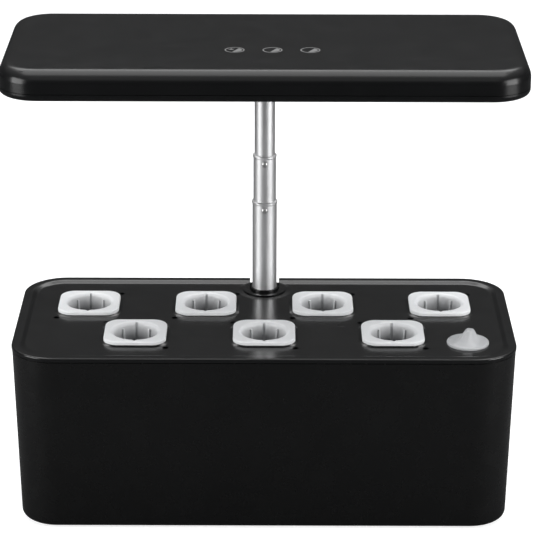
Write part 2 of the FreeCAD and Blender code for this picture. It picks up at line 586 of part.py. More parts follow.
def grow_basket(number, x, y):
    """One basket: a square flange, a tapering cup with a keyway, inner ribs and root slots."""
    name = "grow_basket_%d" % number
    item = body(name)
    tag = "Basket%d" % number
    flange = sketch(item, tag + "Flange")
    rounded_rectangle(flange, "Sizes.flange_side", "Sizes.flange_side", "Sizes.flange_corner")
    pad(item, flange, "Sizes.flange_thick")
    soften(item, tag + "FlangeEdge", "Sizes.flange_round",
           edges_at(item.Tip.Shape, size("Sizes.flange_thick")))
    cup = sketch(item, tag + "Cup")
    circle(cup, "Sizes.cup_radius")
    pad(item, cup, "Sizes.cup_depth", taper="-Sizes.cup_draft", flip=True)
    mouth = sketch(item, tag + "Mouth", offset="Sizes.flange_thick")
    circle(mouth, "Sizes.cup_radius - Sizes.cup_wall")
    pocket(item, mouth, "Sizes.flange_thick + Sizes.cup_depth - Sizes.cup_floor", taper="-Sizes.cup_draft")
    inner = size("Sizes.cup_radius - Sizes.cup_wall") + 0.1
    soften(item, tag + "MouthEdge", "Sizes.mouth_round",
           edges_at(item.Tip.Shape, size("Sizes.flange_thick"), lambda edge: is_inside(edge, inner)))
    keyway = sketch(item, tag + "Keyway", offset="Sizes.flange_thick")
    apex = "(Sizes.cup_radius - Sizes.cup_wall + Sizes.mouth_round + Sizes.notch_depth)"
    for side in ("-", ""):
        near = side + "0.6 * Sizes.cup_radius"
        outline(keyway, [("-0.5 * Sizes.notch_width", near), ("0.5 * Sizes.notch_width", near),
                         ("0", side + apex)])
    pocket(item, keyway, "Sizes.flange_thick + 0.4 * Sizes.cup_depth")
    ribs = sketch(item, tag + "Ribs", plane="XZ_Plane")
    ribs.AttachmentOffset = Placement(Vector(), Rotation(Vector(0, 1, 0), 45))
    bore = ("Sizes.cup_radius - Sizes.cup_wall"
            " - (Sizes.flange_thick + %s * Sizes.cup_depth) * tan(Sizes.cup_draft)")
    top, foot = bore % "0.1", bore % "0.7"
    outline(ribs, [("%s + 0.5 * Sizes.cup_wall" % top, "-0.1 * Sizes.cup_depth"),
                   ("%s - Sizes.rib_depth" % top, "-0.14 * Sizes.cup_depth"),
                   ("%s - Sizes.rib_depth" % foot, "-0.7 * Sizes.cup_depth"),
                   ("%s + 0.5 * Sizes.cup_wall" % foot, "-0.7 * Sizes.cup_depth")])
    rib = pad(item, ribs, "Sizes.rib_width", both=True)
    repeat(item, tag + "RibPattern", rib, (ribs, ["V_Axis"]), 4)
    slots = sketch(item, tag + "RootSlots", plane="XZ_Plane")
    low = "(Sizes.root_slot_lift - Sizes.cup_depth)"
    outline(slots, [("-0.5 * Sizes.root_slot_width", low), ("0.5 * Sizes.root_slot_width", low),
                    ("0.5 * Sizes.root_slot_width", "%s + Sizes.root_slot_height" % low),
                    ("-0.5 * Sizes.root_slot_width", "%s + Sizes.root_slot_height" % low)])
    cut = pocket(item, slots, "Sizes.cup_radius")
    repeat(item, tag + "SlotPattern", cut, (slots, ["V_Axis"]), ROOT_SLOTS)
    drain = sketch(item, tag + "Drain", offset="-Sizes.cup_depth")
    circle(drain, "Sizes.drain_radius")
    pocket(item, drain, "2 * Sizes.cup_floor", flip=True)
    place(item, x, y, PAD_TOP)
    return item


def fill_plug():
    """The filling port's plug: a disc with a domed grip across it and a hollow stem with a seal groove."""
    item = body("fill_plug")
    disc = sketch(item, "PlugDisc")
    circle(disc, "Sizes.plug_radius")
    pad(item, disc, "Sizes.plug_thick")
    soften(item, "PlugDiscEdge", "Sizes.plug_round", edges_at(item.Tip.Shape, size("Sizes.plug_thick")))
    grip = sketch(item, "PlugGrip", plane="XZ_Plane")
    waist = "0.25 * (Sizes.grip_base + Sizes.grip_top) - 0.12 * Sizes.grip_base"
    low, crest = "Sizes.plug_thick", "(Sizes.plug_thick + Sizes.grip_height)"
    middle = "(Sizes.plug_thick + 0.35 * Sizes.grip_height)"
    outline(grip, [("-0.5 * Sizes.grip_base", low), ("0.5 * Sizes.grip_base", low),
                   (waist, middle),
                   ("0.5 * Sizes.grip_top", crest), ("-0.5 * Sizes.grip_top", crest),
                   ("-(%s)" % waist, middle)])
    pad(item, grip, "2 * Sizes.plug_radius", both=True)
    trim = sketch(item, "PlugDome", plane="XZ_Plane")
    clear = "(%s + Sizes.plug_thick)" % crest
    outline(trim, [("Sizes.plug_radius - Sizes.plug_round", "Sizes.plug_thick"),
                   ("0.82 * Sizes.plug_radius", "Sizes.plug_thick + 0.5 * Sizes.grip_height"),
                   ("0.58 * Sizes.plug_radius", "Sizes.plug_thick + 0.85 * Sizes.grip_height"),
                   ("0.3 * Sizes.plug_radius", "Sizes.plug_thick + 0.98 * Sizes.grip_height"),
                   ("0.15 * Sizes.plug_radius", clear), ("2 * Sizes.plug_radius", clear),
                   ("2 * Sizes.plug_radius", "Sizes.plug_thick")])
    revolve(item, trim, kind="Groove")
    stem = sketch(item, "PlugStem", plane="XZ_Plane")
    outer = "(Sizes.port_radius - Sizes.plug_gap)"
    root = "(%s + Sizes.seal_proud - Sizes.seal_section)" % outer
    groove = "(0.6 * Sizes.plug_stem)"
    half = "0.5 * Sizes.seal_section + Sizes.seat_gap"
    outline(stem, [("0", "0"), (outer, "0"), (outer, "%s - %s" % (half, groove)),
                   (root, "%s - %s" % (half, groove)), (root, "-(%s) - %s" % (half, groove)),
                   (outer, "-(%s) - %s" % (half, groove)), (outer, "-Sizes.plug_stem"),
                   ("%s - Sizes.plug_wall" % root, "-Sizes.plug_stem"),
                   ("%s - Sizes.plug_wall" % root, "-Sizes.plug_wall"), ("0", "-Sizes.plug_wall")])
    revolve(item, stem)
    place(item, PORT_X, PORT_Y, DECK_FACE)
    item.setExpression("Placement.Rotation.Angle", "Sizes.plug_turn")
    return item


def place(item, x, y, z):
    """Bind a sub-part's place to formulas on the sheet."""
    for axis, formula in (("x", x), ("y", y), ("z", z)):
        item.setExpression("Placement.Base." + axis, formula)
    doc.recompute()


def turned(name, points, x="0", y="0", z="0"):
    """Make a round sub-part from its profile, given as radius and height, and set it in its place."""
    item = body(name)
    profile = sketch(item, "".join(word.title() for word in name.split("_")) + "Profile", plane="XZ_Plane")
    outline(profile, points)
    revolve(item, profile)
    place(item, x, y, z)
    return item


def fill_plug_seal():
    """The rubber ring in the plug's groove: it touches the groove and stays just clear of the port."""
    item = doc.addObject("Part::Torus", "fill_plug_seal")
    item.Label = "fill_plug_seal"
    item.setExpression("Radius1", "Sizes.port_radius - Sizes.plug_gap + Sizes.seal_proud"
                       " - 0.5 * Sizes.seal_section")
    item.setExpression("Radius2", "0.5 * Sizes.seal_section")
    place(item, PORT_X, PORT_Y, "%s - 0.6 * Sizes.plug_stem" % DECK_FACE)
    return item


CAGE_BORE = "(Sizes.float_radius + Sizes.cage_gap)"
CAGE_DEPTH = "(Sizes.float_height + Sizes.float_travel + 2 * Sizes.cage_gap)"


def float_cage():
    """The float's cage under the deck: a pierced sleeve with a ring at its foot."""
    item = turned("float_cage", [
        (CAGE_BORE, "0"), ("%s + Sizes.cage_wall" % CAGE_BORE, "0"),
        ("%s + Sizes.cage_wall" % CAGE_BORE, "-%s - Sizes.cage_wall" % CAGE_DEPTH),
        ("0.5 * Sizes.float_radius", "-%s - Sizes.cage_wall" % CAGE_DEPTH),
        ("0.5 * Sizes.float_radius", "-%s" % CAGE_DEPTH), (CAGE_BORE, "-%s" % CAGE_DEPTH)])
    for number, plane in enumerate(("XZ_Plane", "YZ_Plane")):
        window = sketch(item, "CageWindow%d" % number, plane=plane)
        half = "0.45 * Sizes.float_radius"
        outline(window, [("-%s" % half, "-0.15 * %s" % CAGE_DEPTH), ("-%s" % half, "-0.9 * %s" % CAGE_DEPTH),
                         (half, "-0.9 * %s" % CAGE_DEPTH), (half, "-0.15 * %s" % CAGE_DEPTH)])
        pocket(item, window, "4 * %s" % CAGE_BORE, both=True)
    place(item, FLOAT_X, FLOAT_Y, DECK_UNDER)
    return item


def level_float():
    """The float with the flag that rises through the deck's slot as the tank fills."""
    item = body("level_float")
    block = sketch(item, "FloatBlock")
    circle(block, "Sizes.float_radius")
    pad(item, block, "Sizes.float_height")
    soften(item, "FloatEdges", "0.15 * Sizes.float_radius",
           edges_at(item.Tip.Shape, 0) + edges_at(item.Tip.Shape, size("Sizes.float_height")))
    flag = sketch(item, "FloatFlag", offset="Sizes.float_height")
    rounded_rectangle(flag, "Sizes.slot_length - 2 * Sizes.flag_gap", "Sizes.slot_width - 2 * Sizes.flag_gap",
                      "0.3 * Sizes.slot_width - 0.5 * Sizes.flag_gap")
    pad(item, flag, "%s - Sizes.float_height + Sizes.deck_plate - Sizes.flag_gap" % CAGE_DEPTH)
    place(item, FLOAT_X, FLOAT_Y, "%s - %s" % (DECK_UNDER, CAGE_DEPTH))
    return item


SOCKET_FOOT = "(%s + Sizes.floor_boss + Sizes.gasket_thick)" % FLOOR_TOP
TUBE_SEAT = "(%s + Sizes.socket_seat)" % FLOOR_TOP


def pole_socket():
    """The black socket that stands in the tank and carries the pole."""
    item = turned("pole_socket", [
        ("Sizes.socket_bore", "0"), ("Sizes.socket_flange", "0"),
        ("Sizes.socket_flange", "Sizes.socket_flange_thick"),
        ("Sizes.socket_radius", "Sizes.socket_flange_thick"),
        ("Sizes.socket_radius", "%s + Sizes.socket_proud - %s" % (RIM_TOP, SOCKET_FOOT)),
        ("Sizes.lower_radius + Sizes.seat_gap", "%s + Sizes.socket_proud - %s" % (RIM_TOP, SOCKET_FOOT)),
        ("Sizes.lower_radius + Sizes.seat_gap", "%s - %s" % (TUBE_SEAT, SOCKET_FOOT)),
        ("Sizes.socket_bore", "%s - %s" % (TUBE_SEAT, SOCKET_FOOT))])
    holes = sketch(item, "SocketHoles", offset="Sizes.socket_flange_thick")
    for x, y in SOCKET_SCREWS:
        circle(holes, "Sizes.screw_radius + Sizes.seat_gap", x, y)
    pocket(item, holes, "2 * Sizes.socket_flange_thick")
    gland = sketch(item, "SocketGland", plane="YZ_Plane")
    circle(gland, "Sizes.lead_radius + 0.5 * Sizes.seat_gap", "0", "%s - %s" % (LEAD_HEIGHT, SOCKET_FOOT))
    pocket(item, gland, "2 * Sizes.socket_radius", flip=False)
    place(item, "0", POLE_Y, SOCKET_FOOT)
    return item


LEAD_HEIGHT = "(%s - Sizes.lead_drop)" % TUBE_SEAT


def socket_gasket():
    """The flat rubber ring between the socket's foot and the tank."""
    item = body("socket_gasket")
    ring = sketch(item, "GasketRing")
    circle(ring, "Sizes.socket_flange")
    circle(ring, "Sizes.socket_bore")
    for x, y in SOCKET_SCREWS:
        circle(ring, "Sizes.screw_radius + Sizes.seat_gap", x, y)
    pad(item, ring, "Sizes.gasket_thick")
    place(item, "0", POLE_Y, "%s - Sizes.gasket_thick" % SOCKET_FOOT)
    return item


def screw(x, y, z, up=False, length="Sizes.screw_length"):
    """One small pan-head screw whose head sits on a face at height z."""
    way = -1 if up else 1
    at = Vector(size(x), size(y), size(z))
    head = Part.makeCylinder(size("Sizes.screw_head"), size("Sizes.screw_head_thick"), at, Vector(0, 0, way))
    rim = [edge for edge in head.Edges
           if abs(edge.BoundBox.ZMin - at.z) > 0.5 * size("Sizes.screw_head_thick")
           and abs(edge.BoundBox.ZMax - edge.BoundBox.ZMin) < 0.01]
    head = head.makeFillet(0.4 * size("Sizes.screw_head_thick"), rim)
    shank = Part.makeCylinder(size("Sizes.screw_radius") - size("Sizes.seat_gap"), size(length), at,
                              Vector(0, 0, -way))
    return head.fuse(shank).removeSplitter()


def socket_screws():
    return solid_feature("socket_screws", [
        screw(x, "%s + %s" % (POLE_Y, y), "%s + Sizes.socket_flange_thick" % SOCKET_FOOT)
        for x, y in SOCKET_SCREWS])


def pole_tube(name, radius, bore, foot, top, banded=True):
    """One thin pole tube, with a rolled band at its top and a hole for its detent pad below the band."""
    length = "(%s - %s)" % (top, foot)
    rim = [(radius, length)]
    if banded:
        proud = "(%s + Sizes.band_proud)" % radius
        rim = [(radius, "%s - Sizes.band_height" % length), (proud, "%s - 0.75 * Sizes.band_height" % length),
               (proud, "%s - 0.25 * Sizes.band_height" % length),
               ("0.5 * (%s + %s)" % (radius, bore), length)]
    item = turned(name, [(bore, "0"), (radius, "0")] + rim + [(bore, length)])
    if banded:
        hole = sketch(item, name.title().replace("_", "") + "Hole", plane="XZ_Plane")
        circle(hole, "Sizes.detent_radius", "0", "%s - Sizes.detent_drop" % length)
        pocket(item, hole, "2 * %s" % radius, flip=True)
    place(item, "0", POLE_Y, foot)
    return item


def detent_pad(name, radius, bore, top):
    """The round pad in a tube's wall that bears on the inner tube and holds the lamp at its height."""
    item = body(name)
    face = sketch(item, name.title().replace("_", "") + "Face", plane="XZ_Plane", offset=bore)
    circle(face, "Sizes.detent_radius")
    pad(item, face, "%s + Sizes.detent_proud - %s" % (radius, bore))
    front = size("%s + Sizes.detent_proud" % radius)
    tip = ["Edge%d" % number for number, edge in enumerate(item.Tip.Shape.Edges, start=1)
           if edge.BoundBox.YMax < 0.01 - front]
    soften(item, name.title().replace("_", "") + "Dome", "0.9 * Sizes.detent_proud", tip)
    place(item, "0", POLE_Y, "%s - Sizes.detent_drop" % top)
    return item


def guide_bush(name, bore, inner, foot):
    """The plastic bush on a tube's lower end that guides it in the tube below."""
    lining = "(%s - Sizes.seat_gap)" % inner
    return turned(name, [
        ("%s - Sizes.bush_wall" % lining, "-0.3 * Sizes.bush_height"),
        ("%s - 0.5 * Sizes.tube_gap" % bore, "-0.3 * Sizes.bush_height"),
        ("%s - 0.5 * Sizes.tube_gap" % bore, "0"),
        (lining, "0"), (lining, "0.7 * Sizes.bush_height"),
        ("%s - Sizes.bush_wall" % lining, "0.7 * Sizes.bush_height")], y=POLE_Y, z=foot)


def lamp_top_cover():
    """The lamp's deep top cover, with soft shoulders and a hollow underside."""
    item = body("lamp_top_cover")
    shape = sketch(item, "LampOutline", offset="%s + Sizes.lamp_gap" % LAMP_SPLIT)
    rounded_rectangle(shape, "Sizes.lamp_length", "Sizes.lamp_depth", "Sizes.lamp_corner")
    pad(item, shape, "%s - %s - Sizes.lamp_gap" % (LAMP_TOP, LAMP_SPLIT))
    hollow = sketch(item, "LampHollow", offset="%s + Sizes.lamp_gap" % LAMP_SPLIT)
    rounded_rectangle(hollow, "Sizes.lamp_length - 2 * Sizes.lamp_wall",
                      "Sizes.lamp_depth - 2 * Sizes.lamp_wall", "Sizes.lamp_corner - Sizes.lamp_wall")
    pocket(item, hollow, "%s - %s - Sizes.lamp_gap" % (CEILING, LAMP_SPLIT), flip=True)
    soften(item, "LampInsideShoulder", "Sizes.lamp_shoulder - Sizes.lamp_wall",
           edges_at(item.Tip.Shape, size(CEILING)))
    soften(item, "LampShoulder", "Sizes.lamp_shoulder", edges_at(item.Tip.Shape, size(LAMP_TOP)))
    posts = sketch(item, "LampPosts", offset="%s + Sizes.lamp_gap" % LAMP_SPLIT)
    for x, y in LAMP_SCREWS:
        circle(posts, "2 * Sizes.screw_radius", x, y)
    pad(item, posts, "%s - %s - Sizes.lamp_gap + 0.5 * Sizes.lamp_wall" % (CEILING, LAMP_SPLIT))
    pilots = sketch(item, "LampPilots", offset="%s + Sizes.lamp_gap" % LAMP_SPLIT)
    for x, y in LAMP_SCREWS:
        circle(pilots, "Sizes.screw_radius", x, y)
    pocket(item, pilots, "Sizes.screw_length", flip=True)
    port = sketch(item, "InletPort", plane="XZ_Plane")
    circle(port, "Sizes.inlet_radius + Sizes.lamp_gap", "Sizes.inlet_side_step", INLET_HEIGHT)
    pocket(item, port, "Sizes.lamp_depth")
    place(item, "0", LAMP_Y, "0")
    return item


WINDOW_LENGTH = "(Sizes.lamp_length - 2 * Sizes.window_end)"
WINDOW_BACK = "(%s - Sizes.clamp_flange)" % LAMP_POLE
WINDOW_NEAR = "(0.5 * Sizes.lamp_depth - Sizes.window_front)"
WINDOW_MIDDLE = "(0.5 * (%s - %s))" % (WINDOW_BACK, WINDOW_NEAR)
WINDOW_DEPTH = "(%s + %s)" % (WINDOW_BACK, WINDOW_NEAR)
SCREW_X = "(0.5 * Sizes.lamp_length - Sizes.lamp_screw_end)"
SCREW_Y = "(0.5 * Sizes.lamp_depth - Sizes.lamp_screw_edge)"
LAMP_SCREWS = [("%s * %s" % (side, SCREW_X), "%d * %s" % (end, SCREW_Y)) for side in (-1, -0.36, 0.36, 1)
               for end in (-1, 1)]
INLET_HEIGHT = "(%s + 2 * Sizes.lamp_gap + 0.5 * Sizes.inlet_side)" % LAMP_SPLIT


def lamp_bottom_cover():
    """The lamp's lower cover: a tray with the window, the clamp's hole and counterbored screw holes."""
    item = body("lamp_bottom_cover")
    tray = sketch(item, "TrayOutline", offset=LAMP_FOOT)
    rounded_rectangle(tray, "Sizes.lamp_length", "Sizes.lamp_depth", "Sizes.lamp_corner")
    pad(item, tray, "Sizes.lamp_split")
    soften(item, "TrayEdge", "Sizes.lamp_foot_round", edges_at(item.Tip.Shape, size(LAMP_FOOT)))
    window = sketch(item, "WindowOpening", offset=LAMP_SPLIT)
    rounded_rectangle(window, "%s - 2 * Sizes.window_ledge" % WINDOW_LENGTH,
                      "%s - 2 * Sizes.window_ledge" % WINDOW_DEPTH,
                      "Sizes.window_corner - Sizes.window_ledge", y=WINDOW_MIDDLE)
    circle(window, "Sizes.clamp_radius + Sizes.seat_gap", y=LAMP_POLE)
    pocket(item, window, "Sizes.lamp_split")
    seat = sketch(item, "WindowSeat", offset=LAMP_SPLIT)
    rounded_rectangle(seat, WINDOW_LENGTH, WINDOW_DEPTH, "Sizes.window_corner", y=WINDOW_MIDDLE)
    pocket(item, seat, "Sizes.lamp_split - Sizes.window_thick")
    heads = sketch(item, "ScrewSinks", offset=LAMP_FOOT)
    for x, y in LAMP_SCREWS:
        circle(heads, "Sizes.screw_head + 2 * Sizes.seat_gap", x, y)
    pocket(item, heads, "0.5 * Sizes.lamp_split", flip=True)
    shanks = sketch(item, "ScrewWays", offset=LAMP_FOOT)
    for x, y in LAMP_SCREWS:
        circle(shanks, "Sizes.screw_radius + Sizes.seat_gap", x, y)
    pocket(item, shanks, "Sizes.lamp_split", flip=True)
    place(item, "0", LAMP_Y, "0")
    return item


def lamp_screws():
    return solid_feature("lamp_screws", [
        screw(x, "%s + %s" % (LAMP_Y, y), "%s + 0.5 * Sizes.lamp_split" % LAMP_FOOT, up=True)
        for x, y in LAMP_SCREWS])


def lamp_window():
    """The clear window that closes the lamp's underside."""
    item = body("lamp_window")
    sheet_outline = sketch(item, "WindowSheet", offset="%s + Sizes.window_thick" % LAMP_FOOT)
    gap = "2 * Sizes.lamp_gap"
    rounded_rectangle(sheet_outline, "%s - %s" % (WINDOW_LENGTH, gap), "%s - %s" % (WINDOW_DEPTH, gap),
                      "Sizes.window_corner - Sizes.lamp_gap", y=WINDOW_MIDDLE)
    pad(item, sheet_outline, "Sizes.window_thick")
    place(item, "0", LAMP_Y, "0")
    return item


LED_FACE = "(%s + 2 * Sizes.window_thick + Sizes.led_thick)" % LAMP_FOOT


def led_board():
    """The aluminium board that carries the diodes, seated on the window's edge."""
    item = body("led_board")
    board = sketch(item, "LedBoardOutline", offset=LED_FACE)
    gap = "2 * Sizes.lamp_gap"
    rounded_rectangle(board, "%s - %s" % (WINDOW_LENGTH, gap), "%s - %s" % (WINDOW_DEPTH, gap),
                      "Sizes.window_corner - Sizes.lamp_gap", y=WINDOW_MIDDLE)
    pad(item, board, "Sizes.board_thick")
    place(item, "0", LAMP_Y, "0")
    return item


def led_group(name, colour):
    """The diodes of one colour: every third place of every row is red, and a few are blue."""
    side, high = size("Sizes.led_side"), size("Sizes.led_thick")
    pitch_x, pitch_y = size("Sizes.led_pitch_x"), size("Sizes.led_pitch_y")
    columns = int((size(WINDOW_LENGTH) - pitch_x) // pitch_x)
    rows = int((size(WINDOW_DEPTH) - pitch_y) // pitch_y)
    chips = []
    for row in range(rows):
        for column in range(columns):
            kind = (column + 2 * row) % 4
            shade = "red" if kind == 1 else "blue" if kind == 3 and row % 2 else "white"
            if shade == colour:
                x = (column - (columns - 1) / 2) * pitch_x
                y = size(LAMP_Y) + size(WINDOW_MIDDLE) + (row - (rows - 1) / 2) * pitch_y
                corner = Vector(x - side / 2, y - side / 2, size(LED_FACE) - high)
                chips.append(Part.makeBox(side, side, high, corner))
    return solid_feature(name, chips)


def control_board():
    """The touch control's board, hung under the top cover on its three springs."""
    item = body("control_board")
    board = sketch(item, "ControlOutline", offset="%s - Sizes.control_drop" % CEILING)
    rounded_rectangle(board, "Sizes.control_length", "Sizes.control_depth", "Sizes.control_corner",
                      "Sizes.touch_x", "Sizes.touch_y")
    pad(item, board, "Sizes.board_thick", flip=True)
    place(item, "0", LAMP_Y, "0")
    return item


def touch_springs():
    """The three flat coil springs that carry the touch from the cover to the board."""
    springs = []
    for step in (-1, 0, 1):
        at = Vector(size("Sizes.touch_x") + step * size("Sizes.touch_pitch"),
                    size("%s + Sizes.touch_y" % LAMP_Y),
                    size("%s - Sizes.control_drop" % CEILING))
        outer = Part.makeCylinder(size("Sizes.touch_radius"), size("Sizes.control_drop"), at)
        inner = Part.makeCylinder(0.6 * size("Sizes.touch_radius"), size("Sizes.control_drop"), at)
        springs.append(outer.cut(inner))
    return solid_feature("touch_springs", springs)


def lamp_clamp():
    """The clamp that holds the upper tube in the lamp, with a flange on the lower cover."""
    foot = "-Sizes.clamp_proud"
    seat = "Sizes.lamp_split"
    inner = "(Sizes.upper_radius + Sizes.seat_gap)"
    return turned("lamp_clamp", [
        (inner, foot), ("0.8 * Sizes.clamp_radius + 0.2 * %s" % inner, foot),
        ("Sizes.clamp_radius", "0.5 * %s" % foot), ("Sizes.clamp_radius", seat),
        ("Sizes.clamp_flange", seat), ("Sizes.clamp_flange", "%s + Sizes.clamp_flange_thick" % seat),
        ("Sizes.clamp_radius", "%s + Sizes.clamp_flange_thick" % seat),
        ("Sizes.clamp_radius", "Sizes.lamp_thick - Sizes.lamp_wall - Sizes.lamp_gap"),
        ("0.6 * %s" % inner, "Sizes.lamp_thick - Sizes.lamp_wall - Sizes.lamp_gap"),
        ("0.6 * %s" % inner, UPPER_SEAT), (inner, UPPER_SEAT)], y=POLE_Y, z=LAMP_FOOT)


UPPER_SEAT = "(Sizes.lamp_thick - Sizes.lamp_wall - 3 * Sizes.clamp_flange_thick / 2)"
UPPER_TOP = "(%s + %s)" % (LAMP_FOOT, UPPER_SEAT)


def dc_inlet():
    """The power inlet at the back of the lamp: a block with a round socket and its pin."""
    item = body("dc_inlet")
    block = sketch(item, "InletBlock", plane="XZ_Plane")
    rounded_rectangle(block, "Sizes.inlet_side", "Sizes.inlet_side", "Sizes.inlet_corner")
    pad(item, block, "Sizes.inlet_length")
    barrel = sketch(item, "InletBarrel", plane="XZ_Plane")
    circle(barrel, "Sizes.inlet_radius")
    pad(item, barrel, "Sizes.lamp_wall + Sizes.inlet_setback", flip=True)
    bore = sketch(item, "InletBore", plane="XZ_Plane", offset="-Sizes.lamp_wall - Sizes.inlet_setback")
    circle(bore, "Sizes.inlet_radius - Sizes.inlet_rim")
    circle(bore, "Sizes.inlet_pin")
    pocket(item, bore, "0.8 * Sizes.inlet_length", flip=True)
    place(item, "Sizes.inlet_side_step",
          "%s + 0.5 * Sizes.lamp_depth - Sizes.lamp_wall - Sizes.inlet_setback" % LAMP_Y, INLET_HEIGHT)
    return item


PUMP_FOOT = "(%s + Sizes.cup_foot_height)" % FLOOR_TOP
CHAMBER_HEIGHT = "(0.5 * Sizes.pump_height)"


def pump_body():
    """The pump: a rounded block with an impeller chamber at the front and a spout on top."""
    item = body("pump_body")
    shape = sketch(item, "PumpOutline")
    rounded_rectangle(shape, "Sizes.pump_length", "Sizes.pump_depth", "Sizes.pump_round")
    pad(item, shape, "Sizes.pump_height")
    soften(item, "PumpTopEdge", "0.5 * Sizes.pump_round", edges_at(item.Tip.Shape, size("Sizes.pump_height")))
    spout = sketch(item, "PumpSpout", offset="Sizes.pump_height")
    circle(spout, "Sizes.spout_radius", y="-0.5 * Sizes.pump_depth + 0.5 * Sizes.pump_cavity_depth")
    pad(item, spout, "Sizes.spout_height")
    bore = sketch(item, "SpoutBore", offset="Sizes.pump_height + Sizes.spout_height")
    circle(bore, "Sizes.spout_radius - Sizes.spout_wall",
           y="-0.5 * Sizes.pump_depth + 0.5 * Sizes.pump_cavity_depth")
    pocket(item, bore, "Sizes.spout_height + Sizes.pump_height - %s" % CHAMBER_HEIGHT)
    chamber = sketch(item, "PumpChamber", plane="XZ_Plane", offset="0.5 * Sizes.pump_depth")
    circle(chamber, "Sizes.pump_cavity", "0", CHAMBER_HEIGHT)
    pocket(item, chamber, "Sizes.pump_cavity_depth")
    pin = sketch(item, "PumpPin", plane="XZ_Plane", offset="0.5 * Sizes.pump_depth - Sizes.pump_cavity_depth")
    circle(pin, "Sizes.pump_pin", "0", CHAMBER_HEIGHT)
    pad(item, pin, "Sizes.pump_cavity_depth - 0.5")
    place(item, PUMP_X, PUMP_Y, PUMP_FOOT)
    return item


def pump_grille():
    """The slotted grille over the pump's inlet."""
    item = body("pump_grille")
    plate = sketch(item, "GrillePlate", plane="XZ_Plane")
    rounded_rectangle(plate, "0.9 * Sizes.pump_length", "0.9 * Sizes.pump_height", "Sizes.pump_round")
    pad(item, plate, "Sizes.grille_thick")
    slots = sketch(item, "GrilleSlots", plane="XZ_Plane", offset="Sizes.grille_thick")
    for step in range(-3, 4):
        reach = "2 * sqrt(0.8 * Sizes.pump_cavity ^ 2 - (%d * 0.22 * Sizes.pump_cavity) ^ 2)" % step
        rounded_rectangle(slots, "0.1 * Sizes.pump_cavity", reach, "0.04 * Sizes.pump_cavity",
                          "%d * 0.22 * Sizes.pump_cavity" % step)
    pocket(item, slots, "2 * Sizes.grille_thick")
    place(item, PUMP_X, "%s - 0.5 * Sizes.pump_depth" % PUMP_Y, "%s + %s" % (PUMP_FOOT, CHAMBER_HEIGHT))
    return item


def pump_impeller():
    """The impeller: a hub and curved-edge blades on a back plate, on the pump's pin."""
    item = body("pump_impeller")
    hub = sketch(item, "ImpellerHub", plane="XZ_Plane")
    circle(hub, "2.4 * Sizes.pump_pin")
    pad(item, hub, "Sizes.impeller_width")
    plate = sketch(item, "ImpellerPlate", plane="XZ_Plane")
    circle(plate, "0.75 * Sizes.impeller_radius")
    pad(item, plate, "Sizes.blade_thick")
    blade = sketch(item, "ImpellerBlade", plane="XZ_Plane")
    half = "0.5 * Sizes.blade_thick"
    outline(blade, [("-%s" % half, "1.8 * Sizes.pump_pin"), (half, "1.8 * Sizes.pump_pin"),
                    ("%s + 0.25 * Sizes.impeller_radius" % half, "0.96 * Sizes.impeller_radius"),
                    ("0.25 * Sizes.impeller_radius - %s" % half, "0.96 * Sizes.impeller_radius")])
    fin = pad(item, blade, "Sizes.impeller_width")
    repeat(item, "ImpellerFan", fin, (blade, ["N_Axis"]), IMPELLER_BLADES)
    bore = sketch(item, "ImpellerBore", plane="XZ_Plane", offset="Sizes.impeller_width")
    circle(bore, "Sizes.pump_pin + Sizes.pin_gap")
    pocket(item, bore, "2 * Sizes.impeller_width")
    place(item, PUMP_X, "%s - 0.5 * Sizes.pump_depth + Sizes.pump_cavity_depth - 0.5" % PUMP_Y,
          "%s + %s" % (PUMP_FOOT, CHAMBER_HEIGHT))
    return item


def pump_suction_feet():
    """Four rubber suction cups between the pump and the tank floor."""
    cups = []
    radius, high = size("Sizes.cup_foot_radius"), size("Sizes.cup_foot_height")
    reach_x = size("0.5 * Sizes.pump_length - Sizes.cup_foot_radius")
    reach_y = size("0.5 * Sizes.pump_depth - Sizes.cup_foot_radius")
    for side in (-1, 1):
        for end in (-1, 1):
            at = Vector(size(PUMP_X) + side * reach_x, size(PUMP_Y) + end * reach_y, size(FLOOR_TOP))
            skirt = Part.makeCone(radius, 0.55 * radius, 0.6 * high, at)
            neck = Part.makeCylinder(0.55 * radius, high, at)
            hollow = Part.makeCone(0.8 * radius, 0.2 * radius, 0.35 * high, at)
            cups.append(skirt.fuse(neck).cut(hollow).removeSplitter())
    return solid_feature("pump_suction_feet", cups)


# The lead's corners, chosen by hand: steps from its end at the pump, then from its end at the pole socket
LEAD_FROM_PUMP = [(14, 0, 0), (32, 9, -5), (52, 30, -9)]
LEAD_TO_SOCKET = [(-20, -6, -7), (-11, 0, 0)]


def pump_lead():
    """The lead from the pump to the pole socket, along straight runs joined by tangent arcs."""
    start = Vector(size("%s + 0.5 * Sizes.pump_length" % PUMP_X), size(PUMP_Y),
                   size("%s + 0.5 * Sizes.pump_height" % PUMP_FOOT))
    end = Vector(size("-Sizes.socket_bore"), size(POLE_Y), size(LEAD_HEIGHT))
    points = [start] + [start + Vector(*step) for step in LEAD_FROM_PUMP]
    points += [end + Vector(*step) for step in LEAD_TO_SOCKET] + [end]
    return solid_feature("pump_lead", [swept_tube(points, size("Sizes.lead_radius"))])


